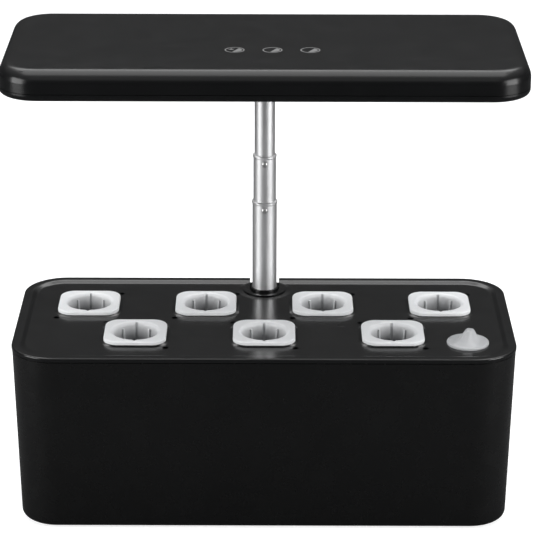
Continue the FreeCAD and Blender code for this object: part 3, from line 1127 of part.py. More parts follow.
def swept_tube(points, radius):
    """Sweep a round section along straight runs whose corners are arcs, each as large as its runs allow."""
    edges, last = [], points[0]
    for before, corner, after in zip(points, points[1:], points[2:]):
        back, on = before - corner, after - corner
        half_turn = (math.pi - back.getAngle(on)) / 2
        reach = 0.45 * min(back.Length, on.Length)
        bend = reach / math.tan(half_turn)
        begin = corner + back.normalize() * reach
        close = corner + on.normalize() * reach
        middle = (begin + close) * 0.5
        inward = middle - corner
        centre = corner + inward.normalize() * (bend / math.cos(half_turn))
        halfway = centre - inward * bend
        edges.append(Part.LineSegment(last, begin).toShape())
        edges.append(Part.Arc(begin, halfway, close).toShape())
        print("lead bend radius %.1f" % bend)
        last = close
    edges.append(Part.LineSegment(last, points[-1]).toShape())
    path = Part.Wire(edges)
    section = Part.Wire([Part.Circle(points[0], points[1] - points[0], radius).toShape()])
    tube = path.makePipeShell([section], True, False)
    straight = math.pi * radius ** 2 * path.Length
    print("lead volume against section times length: %.4f" % (tube.Volume / straight))
    return tube


def finish():
    """Check every piece and write it out."""
    doc.removeObject(probe.Name)
    doc.recompute()
    faults = [thing.Name for thing in doc.Objects if {"Invalid", "Error"} & set(thing.State)]
    for item in PIECES:
        if item.Shape.isNull() or not item.Shape.isValid():
            faults.append(item.Label)
    if faults:
        raise ValueError("not sound: " + ", ".join(faults))
    os.makedirs("parts", exist_ok=True)
    for item in PIECES:
        item.Shape.exportStep("parts/%s.step" % item.Label)


PIECES = [tank(), rubber_feet(), deck()]
PIECES += [grow_basket(number, x, y) for number, (row, x, y) in enumerate(BASKETS, start=1)]
PIECES += [
    fill_plug(), fill_plug_seal(), float_cage(), level_float(),
    pole_socket(), socket_gasket(), socket_screws(),
    pole_tube("lower_tube", "Sizes.lower_radius", LOWER_BORE, TUBE_SEAT, LOWER_TOP),
    pole_tube("middle_tube", "Sizes.middle_radius", MIDDLE_BORE, MIDDLE_FOOT, MIDDLE_TOP),
    pole_tube("upper_tube", "Sizes.upper_radius", UPPER_BORE, UPPER_FOOT, UPPER_TOP, banded=False),
    guide_bush("middle_tube_bush", LOWER_BORE, MIDDLE_BORE, MIDDLE_FOOT),
    guide_bush("upper_tube_bush", MIDDLE_BORE, UPPER_BORE, UPPER_FOOT),
    detent_pad("lower_detent_pad", "Sizes.lower_radius", LOWER_BORE, LOWER_TOP),
    detent_pad("upper_detent_pad", "Sizes.middle_radius", MIDDLE_BORE, MIDDLE_TOP),
    lamp_top_cover(), lamp_bottom_cover(), lamp_screws(), lamp_window(), led_board(),
    led_group("leds_white", "white"), led_group("leds_red", "red"), led_group("leds_blue", "blue"),
    control_board(), touch_springs(), lamp_clamp(), dc_inlet(),
    pump_body(), pump_grille(), pump_impeller(), pump_suction_feet(), pump_lead(),
]
finish()
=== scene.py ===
import json
import math

import bmesh
import bpy
from bpy.props import FloatProperty, FloatVectorProperty, PointerProperty
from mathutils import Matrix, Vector


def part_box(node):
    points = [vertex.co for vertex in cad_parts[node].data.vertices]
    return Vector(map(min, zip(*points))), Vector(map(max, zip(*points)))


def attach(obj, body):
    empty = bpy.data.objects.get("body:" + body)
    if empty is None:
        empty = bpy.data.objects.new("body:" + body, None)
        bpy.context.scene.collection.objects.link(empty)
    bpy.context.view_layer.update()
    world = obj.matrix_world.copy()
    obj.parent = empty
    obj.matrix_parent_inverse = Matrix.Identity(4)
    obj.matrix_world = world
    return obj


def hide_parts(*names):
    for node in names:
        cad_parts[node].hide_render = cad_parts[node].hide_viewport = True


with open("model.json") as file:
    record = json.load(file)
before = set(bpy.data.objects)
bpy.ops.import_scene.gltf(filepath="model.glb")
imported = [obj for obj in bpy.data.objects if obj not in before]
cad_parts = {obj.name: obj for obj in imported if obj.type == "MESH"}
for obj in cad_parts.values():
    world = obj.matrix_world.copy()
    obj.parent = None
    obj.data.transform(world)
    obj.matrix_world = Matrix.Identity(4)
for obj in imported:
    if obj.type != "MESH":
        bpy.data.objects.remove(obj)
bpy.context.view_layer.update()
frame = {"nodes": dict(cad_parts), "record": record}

bl_info = {
    "name": "Countertop garden",
    "version": (1, 0, 0),
    "blender": (4, 5, 0),
    "location": "3D View > Sidebar > Garden",
    "description": "Dresses the countertop garden's frame with its pieces, finishes, stage and lights",
    "category": "Object",
}

MM = 0.001
PLUG_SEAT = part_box("deck")[1][2] - 1.5 * MM

# The knob: its turn, the rings of its disc, and the fin's strokes in mm, each with its back and front end,
# half width, rise and how far the surface follows; the fin narrows towards its back
KNOB_TURN, KNOB_RINGS = math.radians(-18), 26
FIN_STROKES = [(5.8, -5.6, 2.2, 2.0, 6.4), (5.6, -2.6, 1.9, 2.3, 5.4), (5.4, 0.6, 1.6, 2.3, 4.4)]
FIN_RISE = sum(stroke[3] for stroke in FIN_STROKES)
FIN_TAPER = 0.05

# The knob's stem below the deck: radius, wall, end, chamfer and hollow's roof, and the seal's groove in it
STEM, STEM_WALL, STEM_END, STEM_EDGE, STEM_ROOF = 0.0104, 0.0023, -0.009, 0.0004, -0.0016
SEAL_TOP, SEAL_FOOT, SEAL_DEEP = -0.0046, -0.0062, 0.0011

# The touch icons: places, the line that halves a disc, the sprout's place and leaves, and the print
ICON_PLACES = (-18.7 * MM, 4.8 * MM, 28.3 * MM)
ICON_ROW = -22.0 * MM
HALF_THROUGH, HALF_FACING = (0.00065, -0.00025, 0), (0.888, -0.459, 0)
SPROUT_ACROSS, SPROUT_ALONG = -0.0021, 0.0004
LEAVES, LEAF_WIDTH = ((48, 0.0011), (0, 0.0014), (-48, 0.0011)), 0.42
PRINT_SINK, PRINT_THICK = 0.00001, 0.00004

# The diodes: the board's grid, and shares of a diode's side and height for its frame and its lens
LED_COLUMNS, LED_ROWS, LED_PITCH = 15, 4, 17.5 * MM
LED_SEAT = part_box("led_board")[0][2]
LED_MIDDLE = (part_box("led_board")[0][1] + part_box("led_board")[1][1]) / 2
FRAME_CORNER, FRAME_RIM, FRAME_WALL, WELL_DEEP, WELL_TAPER = 0.1, 0.04, 0.08, 0.3, 0.86
LENS = ((0.36, 0.68), (0.35, 0.78), (0.30, 0.87), (0.2, 0.93))

# A detent button's crown: shares of its radius and of its depth
BUTTON_CROWN = ((1.0, 0.55), (0.94, 0.76), (0.78, 0.9), (0.52, 0.975), (0.26, 1.0))

# A grow basket: flange, cup, wall, floor and draft
FLANGE, CUP_RADIUS, CUP_WALL, CUP_FLOOR, CUP_DRAFT = 2.3 * MM, 16.2 * MM, 1.9 * MM, 1.8 * MM, math.radians(4)
CUP_SLOPE = math.tan(CUP_DRAFT)
FLANGE_CORNER, DRAIN_RADIUS = 0.0095, 0.0065
# Heights of the rings that carry the painted shade down the bore
WALL_RINGS = (-0.036, -0.026, -0.018, -0.012, -0.007, -0.003)
SLOT, SLOT_ROUND, SLOT_OUT, SLOT_UP = (0.0034, 0.010, 0.022), 0.0012, 0.013, 0.015
# The notch's block: half its length over the notch's reach, and its width over its length
NOTCH_HALF, NOTCH_NARROW = 1.5, 0.75
GROOVE_DEEP, GROOVE_LONG, GROOVE_MIDDLE = 0.0024, 0.032, -0.0135
RIB_DEEP, RIB_LONG, RIB_MIDDLE, RIB_LEVEL, RIB_SINK = 0.0022, 0.026, -0.0140, 0.0160, 0.0002
RIB_TURNS = (38, 142, 218, 322)
# The bore's painted shade: how far past the wall it still counts, the wall's own give, and the depth of full
# shade
BORE_REACH, BORE_GIVE, FULL_PAINTED_SHADE = 0.0015, 0.0005, 0.016

# A lamp screw: head, shank, its length and tip, the cross, and the crown as shares of the head and heights
SCREW_HEAD, SCREW_SHANK, SCREW_LONG, SCREW_TIP = 0.002, 0.00134, 0.0078, 0.0085
SCREW_CROSS, SCREW_SHARE = (0.0004, 0.0022, 0.0014), 0.36
SCREW_CROWN = ((0.4, 0.0), (0.62, 0.00008), (0.8, 0.00028), (0.93, 0.0006), (1.0, 0.0011), (1.0, 0.0015))

# The softboxes: name, setting, place, the point it faces, width and height
SOFTBOXES = (
    ("Overhead", "overhead", (0.0, 0.05, 1.3), (0, 0, 0.15), 1.4, 1.0),
    ("Front", "front", (0.0, -1.3, 1.1), (0, 0, 0.1), 1.4, 0.5),
    ("Back", "back", (0.0, 1.0, 1.4), (0, 0, 0.1), 1.6, 0.5),
    ("Left", "sides", (-0.9, -0.5, 0.34), (0, 0, 0.06), 0.6, 0.6),
    ("Right", "sides", (0.9, -0.5, 0.34), (0, 0, 0.06), 0.6, 0.6))

# The floor: its tone as lit and in reflections, and how much of its own white the camera sees
FLOOR_TONE, FLOOR_REFLECTED, FLOOR_GLOW = 0.5, 0.1, 0.75

# The background's light: in reflections it grows with height, and on everything else towards the back
SKY_TINT = (0.9, 0.95, 1.0, 1)
SKY_REFLECTED = {"low": 0.08, "high": 1.0, "from_low": 0.35, "from_high": 0.9}
SKY_SOFT = {"low": 0.08, "high": 0.55, "from_low": -0.8, "from_high": 0.8}

# The camera, as fitted to the photograph
LENS_LENGTH, SENSOR_WIDTH = 166.43, 36.0
CAMERA_PLACE, CAMERA_TURN = (0.00307, -1.5222, 0.71615), (69.69, -0.163, 0.0374)


# Node groups that the finishes share

def new_group(name, inputs, outputs):
    """Start a shader node group with named sockets: (name, socket kind, default)."""
    group = bpy.data.node_groups.new(name, "ShaderNodeTree")
    for label, kind, value in inputs:
        socket = group.interface.new_socket(label, in_out="INPUT", socket_type=kind)
        socket.default_value = value
    for label, kind in outputs:
        group.interface.new_socket(label, in_out="OUTPUT", socket_type=kind)
    return group, group.nodes.new("NodeGroupInput"), group.nodes.new("NodeGroupOutput")


def noise(group, vector, scale, detail=3.0, roughness=0.55):
    """A noise texture over a place, at a scale given by a number or a socket."""
    node = group.nodes.new("ShaderNodeTexNoise")
    node.inputs["Detail"].default_value = detail
    node.inputs["Roughness"].default_value = roughness
    group.links.new(vector, node.inputs["Vector"])
    if isinstance(scale, float):
        node.inputs["Scale"].default_value = scale
    else:
        group.links.new(scale, node.inputs["Scale"])
    return node.outputs["Fac"]


def spread(group, value, low, high, from_low=0.3, from_high=0.7):
    """Map a noise value onto a range given by numbers or sockets."""
    node = group.nodes.new("ShaderNodeMapRange")
    group.links.new(value, node.inputs["Value"])
    for label, given in (("From Min", from_low), ("From Max", from_high), ("To Min", low), ("To Max", high)):
        if isinstance(given, float):
            node.inputs[label].default_value = given
        else:
            group.links.new(given, node.inputs[label])
    return node.outputs["Result"]


def blend_colour(group, factor, first, second):
    """Mix two colours by a factor, all three from sockets."""
    node = group.nodes.new("ShaderNodeMix")
    node.data_type = "RGBA"
    for value, socket in ((factor, node.inputs[0]), (first, node.inputs[6]), (second, node.inputs[7])):
        group.links.new(value, socket)
    return node.outputs[2]


def moulded_skin():
    """Injection-moulded plastic: faint colour clouds, uneven gloss and a fine sparked grain."""
    group, given, made = new_group(
        "Moulded skin",
        [("Colour", "NodeSocketColor", (0.5, 0.5, 0.5, 1)), ("Shade", "NodeSocketColor", (0.4, 0.4, 0.4, 1)),
         ("Gloss low", "NodeSocketFloat", 0.2), ("Gloss high", "NodeSocketFloat", 0.4),
         ("Grain scale", "NodeSocketFloat", 3000.0), ("Cloud scale", "NodeSocketFloat", 25.0)],
        [("Colour", "NodeSocketColor"), ("Roughness", "NodeSocketFloat"), ("Height", "NodeSocketFloat")])
    place = group.nodes.new("ShaderNodeTexCoord").outputs["Object"]
    cloud = noise(group, place, given.outputs["Cloud scale"])
    tint = blend_colour(group, spread(group, cloud, 0.0, 1.0),
                        given.outputs["Colour"], given.outputs["Shade"])
    group.links.new(tint, made.inputs["Colour"])
    smear = noise(group, place, 90.0, detail=5.0)
    group.links.new(spread(group, smear, given.outputs["Gloss low"], given.outputs["Gloss high"]),
                    made.inputs["Roughness"])
    group.links.new(noise(group, place, given.outputs["Grain scale"], detail=2.0), made.inputs["Height"])
    return group


def drawn_metal():
    """Drawn and brushed tube: fine streaks along Z, with a few broader ones."""
    group, given, made = new_group(
        "Drawn metal",
        [("Colour", "NodeSocketColor", (0.6, 0.6, 0.6, 1)), ("Shade", "NodeSocketColor", (0.5, 0.5, 0.5, 1)),
         ("Gloss low", "NodeSocketFloat", 0.2), ("Gloss high", "NodeSocketFloat", 0.35)],
        [("Colour", "NodeSocketColor"), ("Roughness", "NodeSocketFloat"), ("Height", "NodeSocketFloat")])
    place = group.nodes.new("ShaderNodeTexCoord").outputs["Object"]
    stretch = group.nodes.new("ShaderNodeMapping")
    stretch.inputs["Scale"].default_value = (1.0, 1.0, 0.03)
    group.links.new(place, stretch.inputs["Vector"])
    along = stretch.outputs["Vector"]
    streak = noise(group, along, 2600.0, detail=4.0)
    tint = blend_colour(group, spread(group, noise(group, along, 500.0), 0.0, 1.0),
                        given.outputs["Colour"], given.outputs["Shade"])
    group.links.new(tint, made.inputs["Colour"])
    group.links.new(spread(group, streak, given.outputs["Gloss low"], given.outputs["Gloss high"]),
                    made.inputs["Roughness"])
    group.links.new(streak, made.inputs["Height"])
    return group


def finish_of(name, group, values, bump, **shader):
    """Make a material: a shared group feeds the shader, and plain numbers stand on the shader itself."""
    material = bpy.data.materials.new(name)
    material.use_nodes = True
    tree = material.node_tree
    bsdf = tree.nodes["Principled BSDF"]
    skin = tree.nodes.new("ShaderNodeGroup")
    skin.node_tree = group
    for label, value in values.items():
        skin.inputs[label].default_value = value
    tree.links.new(skin.outputs["Colour"], bsdf.inputs["Base Color"])
    tree.links.new(skin.outputs["Roughness"], bsdf.inputs["Roughness"])
    if bump:
        relief = tree.nodes.new("ShaderNodeBump")
        relief.inputs["Strength"].default_value = bump
        relief.inputs["Distance"].default_value = 0.00005
        tree.links.new(skin.outputs["Height"], relief.inputs["Height"])
        tree.links.new(relief.outputs["Normal"], bsdf.inputs["Normal"])
    for label, value in shader.items():
        bsdf.inputs[label.replace("_", " ")].default_value = value
    return material


def paint_bore_shade(material, colour):
    """Paint shade into the finish: blend its colour towards a darker one with the depth stored on the piece.
    """
    tree = material.node_tree
    bsdf = tree.nodes["Principled BSDF"]
    depth = tree.nodes.new("ShaderNodeAttribute")
    depth.attribute_name = "inside"
    blend = tree.nodes.new("ShaderNodeMix")
    blend.data_type = "RGBA"
    tree.links.new(depth.outputs["Fac"], blend.inputs[0])
    tree.links.new(bsdf.inputs["Base Color"].links[0].from_socket, blend.inputs[6])
    blend.inputs[7].default_value = colour
    tree.links.new(blend.outputs[2], bsdf.inputs["Base Color"])
    return material


def grey(level, tint=0.0):
    """A neutral colour, a little bluer with a tint."""
    return (level * (1 - tint), level, level * (1 + tint), 1)


def make_finishes():
    """One material for each slot, and one for the printed icons."""
    plastic, metal = moulded_skin(), drawn_metal()

    def moulded(name, colour, shade, low, high, grain=3000.0, cloud=25.0, bump=0.12, **shader):
        values = {"Colour": colour, "Shade": shade, "Gloss low": low, "Gloss high": high,
                  "Grain scale": grain, "Cloud scale": cloud}
        return finish_of(name, plastic, values, bump, **shader)

    def drawn(name, colour, shade, low, high, bump=0.1, **shader):
        values = {"Colour": colour, "Shade": shade, "Gloss low": low, "Gloss high": high}
        return finish_of(name, metal, values, bump, Metallic=1.0, **shader)

    return {
        "tank_black": moulded("Tank black", grey(0.0016, 0.04), grey(0.0022, 0.04), 0.24, 0.30,
                              bump=0.03, Specular_IOR_Level=0.5),
        "deck_black": moulded("Deck black", grey(0.0035, 0.05), grey(0.0045, 0.05), 0.18, 0.22,
                              bump=0.03, Specular_IOR_Level=0.40),
        "lamp_black": moulded("Lamp black", grey(0.0035, 0.05), grey(0.0045, 0.05), 0.22, 0.27,
                              bump=0.03, Specular_IOR_Level=0.27),
        "socket_black": moulded("Socket black", grey(0.005, 0.03), grey(0.007, 0.03), 0.16, 0.22,
                                bump=0.04, Specular_IOR_Level=0.4),
        "inner_black": moulded("Inner black", grey(0.012), grey(0.018), 0.45, 0.6, bump=0.3),
        # The basket's white darkens down its bore into a painted shade of this darker grey
        "basket_white": paint_bore_shade(
            moulded("Basket white", (0.78, 0.785, 0.79, 1), (0.75, 0.755, 0.765, 1), 0.28, 0.36,
                    bump=0.05, Specular_IOR_Level=0.4), (0.12, 0.12, 0.125, 1)),
        "plug_grey": moulded("Knob grey", (0.45, 0.455, 0.46, 1), (0.42, 0.425, 0.435, 1), 0.28, 0.36,
                             bump=0.05, Specular_IOR_Level=0.4),
        "float_plastic": moulded("Float grey", grey(0.05), grey(0.07), 0.6, 0.75, grain=1200.0, bump=0.5),
        "foot_rubber": moulded("Foot rubber", grey(0.02), grey(0.03), 0.7, 0.85, grain=1500.0, bump=0.5),
        "seal_rubber": moulded("Seal rubber", grey(0.03), grey(0.04), 0.5, 0.6, bump=0.2),
        "tube_steel": drawn("Satin steel", (0.77, 0.77, 0.775, 1), (0.73, 0.73, 0.74, 1), 0.40, 0.50,
                            bump=0.03),
        "pad_steel": drawn("Bright pad", (0.86, 0.86, 0.86, 1), (0.80, 0.80, 0.80, 1), 0.25, 0.35),
        "screw_steel": drawn("Screw steel", (0.45, 0.45, 0.46, 1), (0.38, 0.38, 0.4, 1), 0.3, 0.45),
        "bush_plastic": moulded("Bush acetal", (0.70, 0.69, 0.64, 1), (0.66, 0.65, 0.6, 1), 0.4, 0.5),
        "window_clear": moulded("Clear window", (0.95, 0.96, 0.96, 1), (0.93, 0.95, 0.95, 1), 0.03, 0.08,
                                bump=0.02, Transmission_Weight=1.0, IOR=1.45),
        "led_board_white": moulded("Board white", (0.72, 0.72, 0.72, 1), (0.68, 0.68, 0.69, 1), 0.4, 0.5),
        "led_white": moulded("Diode phosphor", (0.80, 0.66, 0.12, 1), (0.78, 0.6, 0.1, 1), 0.3, 0.4),
        "led_red": moulded("Diode red", (0.55, 0.04, 0.03, 1), (0.5, 0.03, 0.02, 1), 0.2, 0.3),
        "led_blue": moulded("Diode blue", (0.04, 0.08, 0.55, 1), (0.03, 0.06, 0.5, 1), 0.2, 0.3),
        "board_green": moulded("Board green", (0.02, 0.16, 0.06, 1), (0.015, 0.13, 0.05, 1), 0.35, 0.45),
        "pump_black": moulded("Pump black", grey(0.012), grey(0.018), 0.4, 0.5, grain=1800.0, bump=0.3),
        "impeller_plastic": moulded("Impeller white", grey(0.7), grey(0.65), 0.35, 0.45),
        "lead_black": moulded("Lead black", grey(0.015), grey(0.02), 0.45, 0.55),
        "icon_grey": moulded("Icon print", grey(0.14), grey(0.12), 0.4, 0.5, bump=0.02),
    }


FINISHES = {}


# Modelling helpers

def clear_selection():
    """Leave edit mode and select nothing."""
    if bpy.context.object and bpy.context.object.mode != "OBJECT":
        bpy.ops.object.mode_set(mode="OBJECT")
    bpy.ops.object.select_all(action="DESELECT")


def begin(name, add, **given):
    """Add a primitive at its size and place, and name it."""
    clear_selection()
    add(**given)
    piece = bpy.context.object
    piece.name = piece.data.name = name
    bpy.ops.object.transform_apply(location=True, rotation=True, scale=True)
    bpy.ops.object.mode_set(mode="EDIT")
    bpy.ops.mesh.select_mode(type="EDGE")
    bpy.ops.mesh.select_all(action="DESELECT")
    return piece


def choose(piece):
    """Leave edit mode and select this piece alone."""
    clear_selection()
    piece.select_set(True)
    bpy.context.view_layer.objects.active = piece


def pick(piece, kind, test):
    """Select the vertices, edges or faces of the piece in edit mode whose own test holds."""
    bpy.ops.mesh.select_mode(type=kind)
    bpy.ops.mesh.select_all(action="DESELECT")
    shape = bmesh.from_edit_mesh(piece.data)
    parts = {"VERT": shape.verts, "EDGE": shape.edges, "FACE": shape.faces}[kind]
    picked = [part for part in parts if test(part)]
    if not picked:
        raise RuntimeError("%s: nothing picked" % piece.name)
    for part in picked:
        part.select = True
    shape.select_flush_mode()
    bmesh.update_edit_mesh(piece.data)


def is_flat(part, height, give=1e-5):
    """Whether all of an edge or face lies at one height."""
    return all(abs(vertex.co.z - height) < give for vertex in part.verts)


def runs(edge, axis, length):
    """Whether an edge runs along an axis for more than a length."""
    return abs(edge.verts[0].co[axis] - edge.verts[1].co[axis]) > length


def modify(piece, kind, **values):
    """Add a modifier and apply it at once."""
    if bpy.context.object.mode != "OBJECT":
        bpy.ops.object.mode_set(mode="OBJECT")
    modifier = piece.modifiers.new(kind.title(), kind)
    for label, value in values.items():
        setattr(modifier, label, value)
    bpy.context.view_layer.objects.active = piece
    bpy.ops.object.modifier_apply(modifier=modifier.name)


def put_down(piece, place, turn=0.0, tilt=0.0):
    """Tilt and turn a piece that was modelled round the origin, and set it in its place, in its own mesh."""
    choose(piece)
    piece.location = place
    piece.rotation_euler = (tilt, 0, turn)
    bpy.ops.object.transform_apply(location=True, rotation=True, scale=True)


def draw_round(start, profile):
    """Carry the selected ring of edges on through pairs of radius and height, from a radius and height."""
    radius, height = start
    for next_radius, next_height in profile:
        bpy.ops.mesh.extrude_region_move(TRANSFORM_OT_translate={"value": (0, 0, next_height - height)})
        share = next_radius / radius
        bpy.ops.transform.resize(value=(share, share, 1), center_override=(0, 0, next_height))
        radius, height = next_radius, next_height


def close_ring():
    """Draw the selected ring together into one point."""
    bpy.ops.mesh.extrude_region_move()
    bpy.ops.mesh.merge(type="CENTER")


def turned(name, profile, vertices, capped=True):
    """Spin up a piece from pairs of radius and height, and close its end; its start is a disc or open."""
    piece = begin(name, bpy.ops.mesh.primitive_circle_add, vertices=vertices, radius=profile[0][0],
                  fill_type="NGON" if capped else "NOTHING", location=(0, 0, profile[0][1]))
    bpy.ops.mesh.select_all(action="SELECT")
    draw_round(profile[0], profile[1:])
    close_ring()
    return piece


def carve(piece, other, operation="DIFFERENCE"):
    """Cut another piece out of the piece, or add it, and take the other away."""
    modify(piece, "BOOLEAN", operation=operation, object=other)
    bpy.data.objects.remove(other)


def join(name, pieces):
    """Make one piece of several."""
    clear_selection()
    for piece in pieces:
        piece.select_set(True)
    bpy.context.view_layer.objects.active = pieces[0]
    bpy.ops.object.join()
    pieces[0].name = pieces[0].data.name = name
    return pieces[0]


def copies(piece, places):
    """Copy a piece to places measured from it, each copy with its own mesh, and take the piece away."""
    made = []
    for place in places:
        twin = piece.copy()
        twin.data = piece.data.copy()
        bpy.context.scene.collection.objects.link(twin)
        put_down(twin, place)
        made.append(twin)
    bpy.data.objects.remove(piece)
    return made


def outward(piece):
    """Merge doubled points and turn every face outwards."""
    if bpy.context.object.mode != "EDIT":
        bpy.ops.object.mode_set(mode="EDIT")
    bpy.ops.mesh.select_all(action="SELECT")
    bpy.ops.mesh.remove_doubles(threshold=1e-6)
    bpy.ops.mesh.normals_make_consistent(inside=False)
    bpy.ops.object.mode_set(mode="OBJECT")


def hand_over(piece, body, slot, *stands_for, angle=35.0):
    """Finish a piece: smooth it, give it its finish and its body, and hide the CAD nodes it stands for."""
    choose(piece)
    bpy.ops.object.shade_smooth_by_angle(angle=math.radians(angle))
    piece.data.materials.clear()
    piece.data.materials.append(FINISHES[slot])
    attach(piece, body)
    if stands_for:
        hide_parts(*stands_for)
    return piece


# Settings that a user would change

class GardenLamp(bpy.types.PropertyGroup):
    icon_ring: FloatProperty(name="Icon ring", description="Outer radius of a touch icon's ring",
                             default=0.0062, unit="LENGTH")
    icon_line: FloatProperty(name="Icon line", description="Width of the ring's printed line",
                             default=0.0008, unit="LENGTH")
    button_radius: FloatProperty(name="Button radius", description="Radius of the detent buttons",
                                 default=0.00166, unit="LENGTH")
    diode_side: FloatProperty(name="Diode side", description="Side of each diode's frame",
                              default=0.003, unit="LENGTH")
    diode_height: FloatProperty(name="Diode height", description="Height of each diode's frame",
                                default=0.0008, unit="LENGTH")


class GardenKnob(bpy.types.PropertyGroup):
    radius: FloatProperty(name="Radius", description="Radius of the knob's disc",
                          default=0.01345, unit="LENGTH")
    thickness: FloatProperty(name="Thickness", description="Thickness of the disc",
                             default=0.0016, unit="LENGTH")
    edge: FloatProperty(name="Edge", description="Rounding of the disc's edge",
                        default=0.0008, unit="LENGTH")
    fin: FloatProperty(name="Fin", description="Height of the fin above the disc",
                       default=0.0066, unit="LENGTH")


class GardenBasket(bpy.types.PropertyGroup):
    mouth: FloatProperty(name="Mouth", description="Rounding of the basket's mouth",
                         default=0.0026, unit="LENGTH")
    edge: FloatProperty(name="Edge", description="Rounding of the flange's top edge",
                        default=0.001, unit="LENGTH")
    notch: FloatProperty(name="Notch", description="How far the front notch reaches out past the bore",
                         default=0.0037, unit="LENGTH")
    groove: FloatProperty(name="Groove", description="Width of the two grooves in the wall",
                          default=0.0018, unit="LENGTH")
    rib: FloatProperty(name="Rib", description="Width of the four ribs inside",
                       default=0.0013, unit="LENGTH")


class GardenStage(bpy.types.PropertyGroup):
    backdrop: FloatVectorProperty(name="Backdrop", description="Colour of the floor and background",
                                  default=(1.0, 1.0, 1.0), subtype="COLOR", min=0.0, max=1.0)
    overhead: FloatProperty(name="Overhead light", description="Power of the softbox overhead",
                            default=14.0, unit="POWER")
    front: FloatProperty(name="Front light", description="Power of the softbox in front",
                         default=0.8, unit="POWER")
    sides: FloatProperty(name="Side lights", description="Power of each side softbox",
                         default=9.0, unit="POWER")
    back: FloatProperty(name="Back light", description="Power of the softbox behind",
                        default=10.0, unit="POWER")


class GARDEN_OT_finishes(bpy.types.Operator):
    """Give every shown CAD node the finish of its slot"""
    bl_idname = "garden.finishes"
    bl_label = "Finish the frame's nodes"

    def execute(self, context):
        FINISHES.update(make_finishes())
        slots = {entry["node"]: entry["material_slot"] for entry in frame["record"]["subparts"]}
        for name, node in frame["nodes"].items():
            for material_slot in node.material_slots:
                material_slot.material = FINISHES[slots[name]]
        return {"FINISHED"}


class GARDEN_OT_knob(bpy.types.Operator):
    """Sculpt the filling port's plug: a disc that sweeps up into a turned fin, and a hollow stem"""
    bl_idname = "garden.knob"
    bl_label = "Sculpt the knob"

    def execute(self, context):
        look = context.scene.garden_knob
        low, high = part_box("fill_plug")
        radius, top = look.radius, look.thickness
        rim = radius - look.edge
        knob = begin("knob", bpy.ops.mesh.primitive_circle_add, vertices=144, radius=rim,
                     fill_type="NGON", location=(0, 0, top))
        bpy.ops.mesh.select_mode(type="FACE")
        bpy.ops.mesh.select_all(action="SELECT")
        for _ in range(KNOB_RINGS):
            bpy.ops.mesh.inset(thickness=rim / (KNOB_RINGS + 1))
        bpy.ops.mesh.poke()
        for back, front, half, rise, reach in FIN_STROKES:
            pick(knob, "VERT", lambda vertex: front * MM <= vertex.co.y <= back * MM
                 and abs(vertex.co.x) <= (half - FIN_TAPER * vertex.co.y / MM) * MM)
            bpy.ops.transform.translate(
                value=(0, 0, rise * look.fin / FIN_RISE), use_proportional_edit=True,
                proportional_edit_falloff="SMOOTH", proportional_size=reach * MM)
        pick(knob, "EDGE", lambda edge: edge.is_boundary)
        edge = [(rim + look.edge * math.sin(turn), top - look.edge * (1 - math.cos(turn)))
                for turn in map(math.radians, range(15, 91, 15))]
        groove, bore = STEM - SEAL_DEEP, STEM - STEM_WALL
        stem = [(radius, 0.0), (STEM, 0.0), (STEM, SEAL_TOP), (groove, SEAL_TOP), (groove, SEAL_FOOT),
                (STEM, SEAL_FOOT), (STEM, STEM_END + STEM_EDGE), (STEM - STEM_EDGE, STEM_END),
                (bore, STEM_END), (bore, STEM_ROOF)]
        draw_round((rim, top), edge + stem)
        close_ring()
        outward(knob)
        put_down(knob, ((low[0] + high[0]) / 2, (low[1] + high[1]) / 2, PLUG_SEAT), KNOB_TURN)
        hand_over(knob, "plug", "plug_grey", "fill_plug", angle=50)
        return {"FINISHED"}


def on_wall(width, deep, high, reach, height, turn):
    """A block that stands on the cup's slanting wall."""
    block = begin("block", bpy.ops.mesh.primitive_cube_add, size=1.0, scale=(width, deep, high))
    put_down(block, (-reach * math.sin(turn), reach * math.cos(turn), height), turn, -CUP_DRAFT)
    return block


